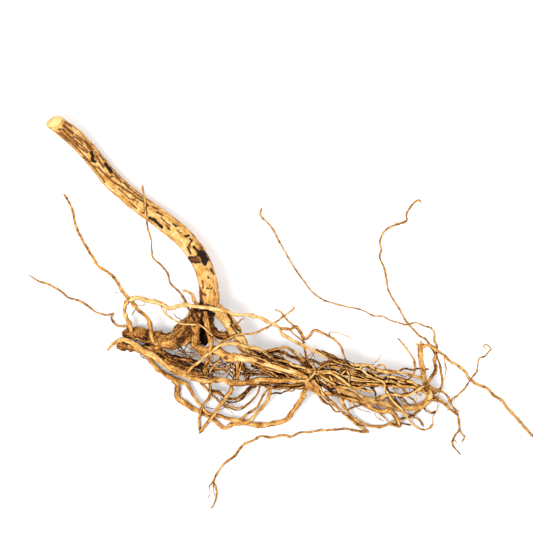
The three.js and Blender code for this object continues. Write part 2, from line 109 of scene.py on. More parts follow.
def aimedLight(name, place, size, power):
    bpy.ops.object.light_add(type="AREA", location=place)
    light = bpy.context.object
    light.name = name
    light.data.shape = "DISK"
    light.data.size = size
    light.data.energy = power
    target = Vector((view["centre"][0], view["centre"][1], 0))
    light.rotation_euler = (target - Vector(place)).to_track_quat("-Z", "Y").to_euler()
    return light


deselectAll()
bpy.ops.mesh.primitive_plane_add(size=studio["floorSize"], location=(0, 0, 0))
floor = bpy.context.object
floor.name = "paleFloor"
floorPaper = bpy.data.materials.new("palePaper")
floorPaper.use_nodes = True
floorShader = floorPaper.node_tree.nodes["Principled BSDF"]
floorShader.inputs["Base Color"].default_value = studio["floorColour"]
floorShader.inputs["Roughness"].default_value = 0.9
floorShader.inputs["Specular IOR Level"].default_value = 0.1
floorShader.inputs["Emission Color"].default_value = (1, 1, 1, 1)
floorShader.inputs["Emission Strength"].default_value = studio["floorGlow"]
floor.data.materials.append(floorPaper)

aimedLight("keyLight", studio["keyPlace"], studio["keySize"], studio["keyPower"])

sky = bpy.data.worlds.new("studioSky")
bpy.context.scene.world = sky
sky.use_nodes = True
skyTree = sky.node_tree
skyTree.nodes.clear()
skySeen = addNode(skyTree, "ShaderNodeLightPath", (-600, 200))
skyStrength = addNode(skyTree, "ShaderNodeMix", (-400, 100), {"data_type": "FLOAT"})
skyStrength.inputs[2].default_value = studio["skyForLight"]
skyStrength.inputs[3].default_value = studio["skyForCamera"]
skyShader = addNode(skyTree, "ShaderNodeBackground", (-200, 0), Color=(1, 1, 1, 1))
skyOut = addNode(skyTree, "ShaderNodeOutputWorld", (0, 0))
skyTree.links.new(skySeen.outputs["Is Camera Ray"], skyStrength.inputs[0])
skyTree.links.new(skyStrength.outputs[0], skyShader.inputs["Strength"])
skyTree.links.new(skyShader.outputs[0], skyOut.inputs[0])
bpy.context.scene.view_settings.view_transform = "Standard"
bpy.context.scene.view_settings.look = "Medium High Contrast"
print("floor, lights and sky ready")


# Strands. Each is a route through listed points in mm, with diameters spread evenly
# from its first point to its last. tone runs from 0, scraped pale, to 1, dark bark.
# knobs is how knuckly it is, rough how broken its skin is, and wander how much it wavers.
# ends names the ends that are blunt or run to a point: by default the last one is blunt.

growth = {
    "step": 0.9,             # mm between rings
    "lineStep": 0.6,         # mm between the points of the smooth line they are taken from
    "wander": 0.17,
    "wanderPerWidth": 0.05,
    "wanderLength": 4.2,
    "swell": 0.24,
    "knotEvery": 6.5,        # mm between knuckles, on average
    "knotHeight": 0.34,
    "knotLength": 0.75,
    "bluntness": 0.45,       # share of the width left at a blunt end
    "bluntLength": 0.6,      # how far the rounding reaches, in widths
    "pointLength": 6.0, "pointWidth": 0.35,
    "ease": 3,               # rings at each end that wander less
}


# a smooth line through the points, sampled evenly, with the diameters carried along it
def routeSamples(route, girth, step):
    points = [Vector(p) for p in route]
    points = [points[0] * 2 - points[1]] + points + [points[-1] * 2 - points[-2]]
    line = []
    for i in range(1, len(points) - 2):
        a, b, c, d = points[i - 1:i + 3]
        t1 = max((b - a).length, 1e-6) ** 0.5
        t2 = t1 + max((c - b).length, 1e-6) ** 0.5
        t3 = t2 + max((d - c).length, 1e-6) ** 0.5
        cuts = max(3, int((c - b).length / growth["lineStep"]))
        for k in range(cuts):
            t = t1 + (t2 - t1) * k / cuts
            ab = a * ((t1 - t) / t1) + b * (t / t1)
            bc = b * ((t2 - t) / (t2 - t1)) + c * ((t - t1) / (t2 - t1))
            cd = c * ((t3 - t) / (t3 - t2)) + d * ((t - t2) / (t3 - t2))
            abc = ab * ((t2 - t) / t2) + bc * (t / t2)
            bcd = bc * ((t3 - t) / (t3 - t1)) + cd * ((t - t1) / (t3 - t1))
            line.append(abc * ((t2 - t) / (t2 - t1)) + bcd * ((t - t1) / (t2 - t1)))
    line.append(points[-2])
    line = np.array([tuple(p) for p in line])
    along = np.concatenate([[0], np.cumsum(np.linalg.norm(np.diff(line, axis=0), axis=1))])
    count = max(4, int(round(along[-1] / step)) + 1)
    even = np.linspace(0, along[-1], count)
    centres = np.stack([np.interp(even, along, line[:, k]) for k in range(3)], axis=1)
    widths = np.interp(even / along[-1], np.linspace(0, 1, len(girth)), girth)
    return centres, widths, even


# adds the small wanderings, swellings and knuckles that a dried root has
def growStrand(strand, offset):
    centres, widths, along = routeSamples(strand["route"], strand["girth"], growth["step"])
    knobs = strand.get("knobs", 1.0)
    reach = growth["wander"] + growth["wanderPerWidth"] * widths
    for i in range(len(centres)):
        p = Vector((along[i] / growth["wanderLength"], offset * 7.31, 2.7))
        drift = noise.noise_vector(p) + noise.noise_vector(p * 2.6 + Vector((5, 1, 9))) * 0.5
        ease = min(1.0, i / growth["ease"], (len(centres) - 1 - i) / growth["ease"])
        centres[i] += np.array(drift) * reach[i] * ease * strand.get("wander", 1.0)
        swell = noise.noise(p * 1.7 + Vector((31, 3, 4))) + 0.6 * noise.noise(p * 4.3)
        widths[i] *= 1 + growth["swell"] * knobs * swell
    place = dice.uniform(2, growth["knotEvery"])
    while place < along[-1] - 2:
        height = growth["knotHeight"] * knobs * dice.uniform(0.3, 1.3)
        length = growth["knotLength"] * dice.uniform(0.6, 1.5) + 0.12 * strand["girth"][0]
        widths *= 1 + height * np.exp(-((along - place) / length) ** 2)
        place += growth["knotEvery"] * dice.uniform(0.35, 1.7)
    for end, rim in strand.get("ends", {"tail": "blunt"}).items():
        gap = along if end == "head" else along[-1] - along
        if rim == "blunt":
            share = np.clip(gap / (growth["bluntLength"] * widths.mean()), 0, 1)
            widths *= growth["bluntness"] + (1 - growth["bluntness"]) * np.sqrt(share)
        if rim == "point":
            share = np.clip(gap / growth["pointLength"], 0, 1)
            widths *= growth["pointWidth"] + (1 - growth["pointWidth"]) * share
    radii = widths / 2
    centres[:, 2] = np.maximum(centres[:, 2], radii * 1.02 + 0.02)   # rests on the floor
    return centres, radii, along


# columns of a table of strand samples
centreOf, radiusOf, tangentOf = slice(0, 3), 3, slice(4, 7)
sideOf, upOf, alongOf = slice(7, 10), slice(10, 13), 13
toneOf, roughOf, startOf, rankOf = 14, 15, 16, 17


# frames that ride along a strand without twisting
def strandFrames(centres):
    tangents = np.gradient(centres, axis=0)
    tangents /= np.linalg.norm(tangents, axis=1)[:, None]
    side = np.cross(tangents[0], (0.31, 0.17, 0.93))
    side /= np.linalg.norm(side)
    sides = [side]
    for i in range(1, len(centres)):
        side = side - tangents[i] * np.dot(side, tangents[i])
        side /= np.linalg.norm(side)
        sides.append(side)
    sides = np.array(sides)
    return tangents, sides, np.cross(tangents, sides)


class Samples:
    def __init__(self):
        self.parts = []

    def add(self, strand, centres, radii, along, offset):
        tangents, sides, ups = strandFrames(centres)
        n = len(centres)
        tones = strand.get("tone", 0.35)
        tones = tones if isinstance(tones, (list, tuple)) else [tones, tones]
        tone = np.interp(along / along[-1], np.linspace(0, 1, len(tones)), tones)
        roughs = strand.get("rough", 0.5)
        roughs = roughs if isinstance(roughs, (list, tuple)) else [roughs, roughs]
        rough = np.interp(along / along[-1], np.linspace(0, 1, len(roughs)), roughs)
        start = np.full(n, offset * 37.0)
        rank = np.full(n, float(len(self.parts)))
        self.parts.append(np.column_stack(
            [centres, radii, tangents, sides, ups, along, tone, rough, start, rank]))

    def table(self):
        return np.concatenate(self.parts)


# one mesh of round strands, through a bevelled curve
def strandMesh(name, strands, sides):
    curve = bpy.data.curves.new(name, "CURVE")
    curve.dimensions = "3D"
    curve.bevel_depth = mm
    curve.bevel_resolution = sides
    curve.use_fill_caps = True
    samples = Samples()
    for strand in strands:
        offset = dice.uniform(0, 50)
        centres, radii, along = growStrand(strand, offset)
        spline = curve.splines.new("POLY")
        spline.points.add(len(centres) - 1)
        ends = np.column_stack([centres * mm, np.ones(len(centres))])
        spline.points.foreach_set("co", ends.ravel())
        spline.points.foreach_set("radius", radii)
        samples.add(strand, centres, radii, along, offset)
    piece = bpy.data.objects.new(name, curve)
    bpy.context.scene.collection.objects.link(piece)
    makeActive(piece)
    bpy.ops.object.convert(target="MESH")
    piece = bpy.context.object
    piece.data.name = name
    bpy.ops.object.mode_set(mode="EDIT")
    bpy.ops.mesh.select_all(action="SELECT")
    bpy.ops.mesh.remove_doubles(threshold=1e-6)
    bpy.ops.mesh.normals_make_consistent(inside=False)
    bpy.ops.object.mode_set(mode="OBJECT")
    return piece, samples.table()


def applyModifier(piece, kind, **settings):
    makeActive(piece)
    bpy.ops.object.modifier_add(type=kind)
    modifier = piece.modifiers[-1]
    for key, value in settings.items():
        setattr(modifier, key, value)
    bpy.ops.object.modifier_apply(modifier=modifier.name)


def meshPoints(mesh):
    points = np.empty(len(mesh.vertices) * 3)
    mesh.vertices.foreach_get("co", points)
    return points.reshape(-1, 3)


def meshNormals(mesh):
    normals = np.empty(len(mesh.vertices) * 3)
    mesh.vertex_normals.foreach_get("vector", normals)
    return normals.reshape(-1, 3)


# the strand sample whose skin is nearest to each point, and the point's place on that strand
def nearestSkin(points, table):
    centres, radii = table[:, centreOf], table[:, radiusOf]
    squares = (centres ** 2).sum(1)
    found = np.empty(len(points), int)
    size = 4000              # points at a time, to spare memory
    for start in range(0, len(points), size):
        chunk = points[start:start + size]
        gaps = (chunk ** 2).sum(1)[:, None] + squares - 2 * chunk @ centres.T
        off = np.abs(np.sqrt(np.maximum(gaps, 0)) - radii)
        found[start:start + size] = off.argmin(1)
    rows = table[found]
    rel = points - rows[:, centreOf]
    turn = np.arctan2((rel * rows[:, upOf]).sum(1), (rel * rows[:, sideOf]).sum(1))
    along = rows[:, alongOf] + (rel * rows[:, tangentOf]).sum(1)
    return rows, turn, along


# where each point lies in its strand's own wood: two ways across it and one along it
def grainPlaces(rows, turn, along):
    radius = rows[:, radiusOf]
    return np.column_stack([np.cos(turn) * radius, np.sin(turn) * radius, along + rows[:, startOf]])


def setValues(mesh, name, values):
    layer = mesh.attributes.get(name) or mesh.attributes.new(name, "FLOAT", "POINT")
    layer.data.foreach_set("value", values.astype(np.float32))


def setVectors(mesh, name, values):
    layer = mesh.attributes.get(name) or mesh.attributes.new(name, "FLOAT_VECTOR", "POINT")
    layer.data.foreach_set("vector", values.astype(np.float32).ravel())


# noise scales per mm, across the grain and along it
skin = {
    "ridge": (0.9, 0.07), "fineRidge": (2, 0.12), "fineShare": 0.5,
    "lump": (0.30, 0.10),
    "pit": (1.8, 0.8), "pitFrom": 0.25, "pitDepth": 2.2,
    "fullAt": 1.6,           # thinner strands are pushed less
    "smoothShare": 0.3, "roughShare": 1.6,
    "floorGap": 0.004, "topGap": 0.02,
}


# ridges along the grain, lumps and small pits, pushed into the mesh itself
def weather(piece, table, ridge, lump, pit):
    mesh = piece.data
    points = meshPoints(mesh) / mm
    rows, turn, along = nearestSkin(points, table)
    grain = grainPlaces(rows, turn, along)
    normals = meshNormals(mesh)

    def wave(place, scale):
        return noise.noise((place[0] * scale[0], place[1] * scale[0], place[2] * scale[1]))

    push = np.empty(len(points))
    for i, place in enumerate(grain):
        ridges = wave(place, skin["ridge"]) + skin["fineShare"] * wave(place, skin["fineRidge"])
        hollow = max(0.0, wave(place, skin["pit"]) - skin["pitFrom"])
        push[i] = ridge * ridges + lump * wave(place, skin["lump"]) - pit * hollow * skin["pitDepth"]
    push *= np.minimum(1.0, rows[:, radiusOf] / skin["fullAt"])
    push *= skin["smoothShare"] + skin["roughShare"] * rows[:, roughOf] ** 2
    points += normals * push[:, None]
    top = cadBox[1][2] / mm - skin["topGap"]
    points[:, 2] = np.clip(points[:, 2], skin["floorGap"], top)
    mesh.vertices.foreach_set("co", (points * mm).ravel())
    mesh.update()
    setValues(mesh, "dent", push)


stemAndTrunkRoutes = [
    # stem
    dict(tone=[0.25, 0.25, 0.22, 0.17, 0.15, 0.16, 0.18, 0.26],
         rough=[0.3, 0.3, 0.25, 0.2, 0.2, 0.3, 0.5], knobs=0.1, wander=0.25,
         girth=[10.8, 11.2, 11.8, 11.5, 11.9, 11.9, 12.4, 12.7, 12.8, 12.8, 12.7, 13.2, 13.4], route=[
        (-163, 134.2, 20),
        (-155.5, 128.4, 16), (-150.5, 124.4, 14.2), (-143, 118.6, 11.6), (-135.6, 111.2, 8.9),
        (-125.5, 99.6, 6.7), (-118, 90.2, 6), (-106.6, 79.6, 6.1), (-95, 70.5, 7), (-87.5, 65.3, 7.9),
        (-77, 57.5, 9.8), (-67.3, 48.8, 12.3), (-59.2, 38.3, 15.2), (-55, 30.3, 17.5), (-52, 20, 20),
        (-51.2, 15, 21), (-51, 6, 22.2), (-53, -1, 22)]),
    # leaning trunk
    dict(tone=[0.6, 0.56, 0.52, 0.54, 0.6], rough=0.8, knobs=0.9, wander=0.6,
         girth=[11, 12.4, 12.4, 11.4, 8.8, 7.8, 7, 6.6], route=[
        (-53, 3, 22), (-58.5, -3.5, 21.6), (-64, -10, 20), (-69.5, -15.8, 18), (-76, -19.6, 15.6),
        (-84, -18.3, 12), (-92, -16.5, 9), (-100, -14.5, 6), (-106, -14.4, 4), (-110, -14.5, 3.3)]),
    # limb
    dict(tone=[0.2, 0.14, 0.18, 0.24, 0.3, 0.4], rough=[0.5, 0.5, 0.6, 0.7], knobs=0.5,
         girth=[9, 8.8, 8.2, 7.4, 6.4, 5.4, 5, 5], route=[
        (-51.4, 3.5, 22), (-42.5, -1, 22.8), (-37.5, -7, 22.8), (-34, -12.5, 22.4), (-30.8, -18, 22),
        (-27.5, -24, 21.5), (-22, -28.5, 21), (-14, -31.5, 20.5), (-4, -34.8, 20), (6, -37.6, 20),
        (14, -39.6, 20), (20, -40.5, 19.6)]),
]

thickRootsRoutes = [
    # core of the bundle
    dict(tone=[0.5, 0.45, 0.45, 0.4], rough=0.7, girth=[5, 4.2, 3.6, 3.4, 3, 2.6], route=[
        (18, -40, 19.6), (25, -42, 19.4), (33, -45, 18.6), (43, -47.4, 17.6), (54, -48.5, 16.6),
        (63.6, -48.5, 15.6), (74.7, -49, 14.8), (83, -49.8, 13.8), (90, -51.6, 11.5), (95.5, -53.5, 8)]),
    # thick pale root
    dict(tone=[0.5, 0.44, 0.3, 0.14, 0.10, 0.16, 0.24], rough=[0.8, 0.7, 0.5, 0.4, 0.5], knobs=0.6,
         girth=[5, 6.6, 6.4, 6.2, 5.8, 5.5, 5.5, 4.4, 4, 3.8, 3.6, 3.4], route=[
        (-57.5, -3, 23), (-60.4, -9, 25), (-60.9, -14, 23.4), (-60.3, -19.5, 21.6), (-58, -24.4, 21.4),
        (-53.5, -26.4, 22.4), (-49.4, -25.6, 24), (-43.5, -27, 25), (-38.2, -30.4, 26),
        (-29.3, -30.3, 27), (-20.4, -31.8, 27), (-10.7, -35.2, 26), (0, -38.3, 25), (7.1, -40.4, 24),
        (12.5, -43.4, 22.6), (16, -45.5, 21)]),
    # dark root behind the limb
    dict(tone=[0.7, 0.62, 0.5, 0.56], rough=0.8, girth=[5, 5, 5.2, 5.6, 5.4, 4.6], route=[
        (-51.4, 1, 22.5), (-50.6, -6, 21.6), (-49.6, -11.5, 19.6), (-46.4, -14.6, 18.4),
        (-41.8, -16, 18.4), (-35.6, -17.6, 20)]),
    # long lower root
    dict(tone=[0.36, 0.34, 0.3, 0.3, 0.22, 0.2], rough=0.5, knobs=0.7,
         girth=[4, 3.6, 3.8, 4, 4, 4, 4.2, 4.2, 4, 3.6, 3, 1.2], route=[
        (20, -40.5, 19.4), (17, -43.5, 18.8), (13, -45.7, 18.2), (3.6, -46, 17.6), (-7.1, -45.6, 17),
        (-16.5, -45.3, 16.6), (-25, -47.5, 16), (-35.3, -47.6, 15.5), (-42.4, -45.4, 14.6),
        (-50.6, -46.2, 13), (-58.2, -45.4, 12), (-67.1, -42.3, 11.6), (-76.1, -38.8, 11.2),
        (-83.2, -33.4, 10.8), (-89, -29.4, 10.4), (-93.8, -27.1, 10), (-98.2, -23.9, 9.4),
        (-102.7, -20.9, 8.4), (-107.1, -19, 6.8), (-111.6, -19.2, 4.4), (-116.2, -21.6, 2.2),
        (-120.8, -27.2, 0.8)]),
    # brown root under the trunk
    dict(tone=0.72, rough=0.8, girth=[2.6, 3.2, 3.4, 3.2, 3, 2.6], route=[
        (-92, -22.4, 9), (-84.5, -26.2, 10), (-77, -29.6, 11.4), (-70, -31.8, 12.6),
        (-63.6, -32.8, 13.4), (-57.6, -35, 14.6), (-52.6, -38, 17)]),
    # its tan neighbour
    dict(tone=0.5, girth=[2, 2.4, 2.4, 2.2], route=[
        (-92, -25, 8.4), (-85, -28.6, 9.6), (-78, -32, 11), (-70.6, -35.6, 12), (-63, -38.4, 12.6),
        (-56.5, -42, 12.8), (-51, -45.6, 13.2)]),
    # hollow stub and its way to the trunk
    dict(tone=[0.4, 0.46, 0.6], rough=0.8, girth=[4.6, 4.6, 4.6, 5, 6], route=[
        (-113.6, -23, 2.3), (-109.4, -23.5, 2.4), (-104.9, -23.5, 2.8), (-100.4, -24.2, 3.6),
        (-94, -24.6, 6), (-88, -23.6, 9.4), (-81, -21.6, 13)]),
    # outer lower root
    dict(tone=0.34, girth=[3.8, 3.2, 3, 3, 3.2], route=[
        (-102, -24, 3.2), (-96.6, -26.5, 3), (-93.5, -29.4, 2.6), (-90.8, -32.5, 2.4),
        (-86.8, -37.6, 2.6), (-79.6, -42.6, 3.2), (-72.5, -46.3, 3.8), (-64.6, -48.8, 4)]),
    # the big hoop
    dict(tone=[0.3, 0.36, 0.32, 0.4], knobs=0.7,
         girth=[2.4, 2.3, 2.6, 2.6, 3.4, 3.4, 3.2, 3.4, 3.8, 4], route=[
        (-66.5, -48.2, 4), (-63.6, -53, 4.2), (-61.3, -57.1, 4.6), (-56.9, -62.9, 5.2), (-52, -68.2, 6),
        (-44.6, -69.8, 6.2), (-35.7, -72.7, 4.8), (-26.8, -74.5, 2.8), (-17.9, -76.6, 1.7),
        (-8.9, -75.4, 2.4), (0, -73.1, 4.4), (5.4, -66.9, 8), (10.3, -59.7, 11.5), (13.4, -53.5, 14.5),
        (15, -46.5, 17.6)]),
    # the second hoop
    dict(tone=[0.38, 0.3, 0.34, 0.3], girth=[3, 3.6, 3.6, 3.2, 3, 2.8, 2.6, 2.4, 2.2, 2.2, 2.2], route=[
        (-75.8, -44.6, 3.6), (-73, -48.6, 2.8), (-72.5, -52.1, 2.1), (-72.9, -55.7, 1.8),
        (-72.1, -58.4, 1.8), (-68.9, -60.6, 1.8), (-61.8, -65.5, 1.7), (-54.6, -68.6, 1.8),
        (-50.2, -71.3, 1.8), (-46.6, -74, 1.6), (-43, -77.4, 1.3), (-40.4, -78.8, 1.3),
        (-37.8, -77, 1.6), (-35.7, -76, 2), (-31.3, -75.6, 3), (-27, -75, 4), (-24.4, -73.8, 4.8),
        (-20.5, -69.6, 6.5), (-15.2, -63.8, 9), (-11.2, -57.9, 11), (-9.4, -51, 13)]),
    # root with the turn
    dict(tone=[0.28, 0.2, 0.22, 0.24, 0.3], rough=0.5, knobs=0.5,
         girth=[4.6, 4.8, 4.8, 4.8, 4.6, 4.4, 4.2, 4.6, 4.2, 3.7, 3.4, 3.3], route=[
        (30, -45.5, 18), (35, -50.6, 15.4), (39, -53, 14), (43.5, -55.3, 12.8), (47.9, -57.5, 11.5),
        (56.9, -59.3, 9.2), (65.8, -61.5, 7.3), (74.7, -64, 5.5), (83.4, -64.6, 4), (91, -63.6, 2.8),
        (95.9, -60.2, 2.3), (98.2, -56.2, 2.4), (97.6, -52.9, 4.6), (95.6, -49.6, 8.6),
        (93.9, -45.4, 12.6), (93.2, -41, 15.6), (92.1, -36.4, 18), (91.3, -31, 20), (91, -24.9, 21.4),
        (90.6, -21, 22)]),
    # spur below it
    dict(tone=[0.42, 0.46, 0.5], knobs=0.6, girth=[3.6, 3.4, 3, 2.6, 2.4], route=[
        (36, -51.8, 14.6), (41.3, -57.1, 11), (50.2, -60.6, 8), (58.2, -64.6, 5), (65.8, -67, 3.2),
        (70.6, -67.2, 2.4), (74.7, -71.3, 1.6), (78, -77.8, 1.2)]),
    # blunt pale stub
    dict(tone=0.26, knobs=0.3, girth=[3.4, 4.2, 4, 2.6], route=[
        (13.5, -43.5, 19.8), (15.5, -48, 18.8), (20, -52.6, 17), (25, -56, 15.2)]),
    # root under its neighbour
    dict(tone=0.4, girth=[2.5, 2.5, 2.6], route=[
        (-81.4, -32.1, 12.5), (-76.1, -36.5, 12.5), (-71.6, -38.3, 12.5), (-67.1, -40.1, 12.5),
        (-62.7, -41.4, 12.5), (-58.2, -43.2, 12.5), (-55.1, -45, 12.5)]),
    # upper edge of the root to the floor
    dict(tone=0.4, rough=0.7, girth=[2.6, 2.6, 2.4], route=[
        (18.5, -45.5, 20), (20.5, -48.5, 19), (23, -51.5, 17.5), (24.5, -54, 16), (26, -56, 14.5),
        (28, -58, 13), (31, -60.5, 11), (34, -62.3, 9.5)]),
    # pale shoulder of the turning root
    dict(tone=0.18, girth=[2.8, 2.8, 2.6], route=[
        (34.5, -47, 18), (35, -50, 17), (35.8, -53, 15.6), (36.5, -56, 14), (38, -60, 12),
        (39.3, -62, 10.6)]),
    # waist end of the long lower root
    dict(tone=0.4, girth=[4, 4.2, 3.6], route=[
        (13, -45.9, 18.6), (16, -44.8, 19.2), (18, -42.8, 19.8), (19.5, -40.8, 20)]),
]

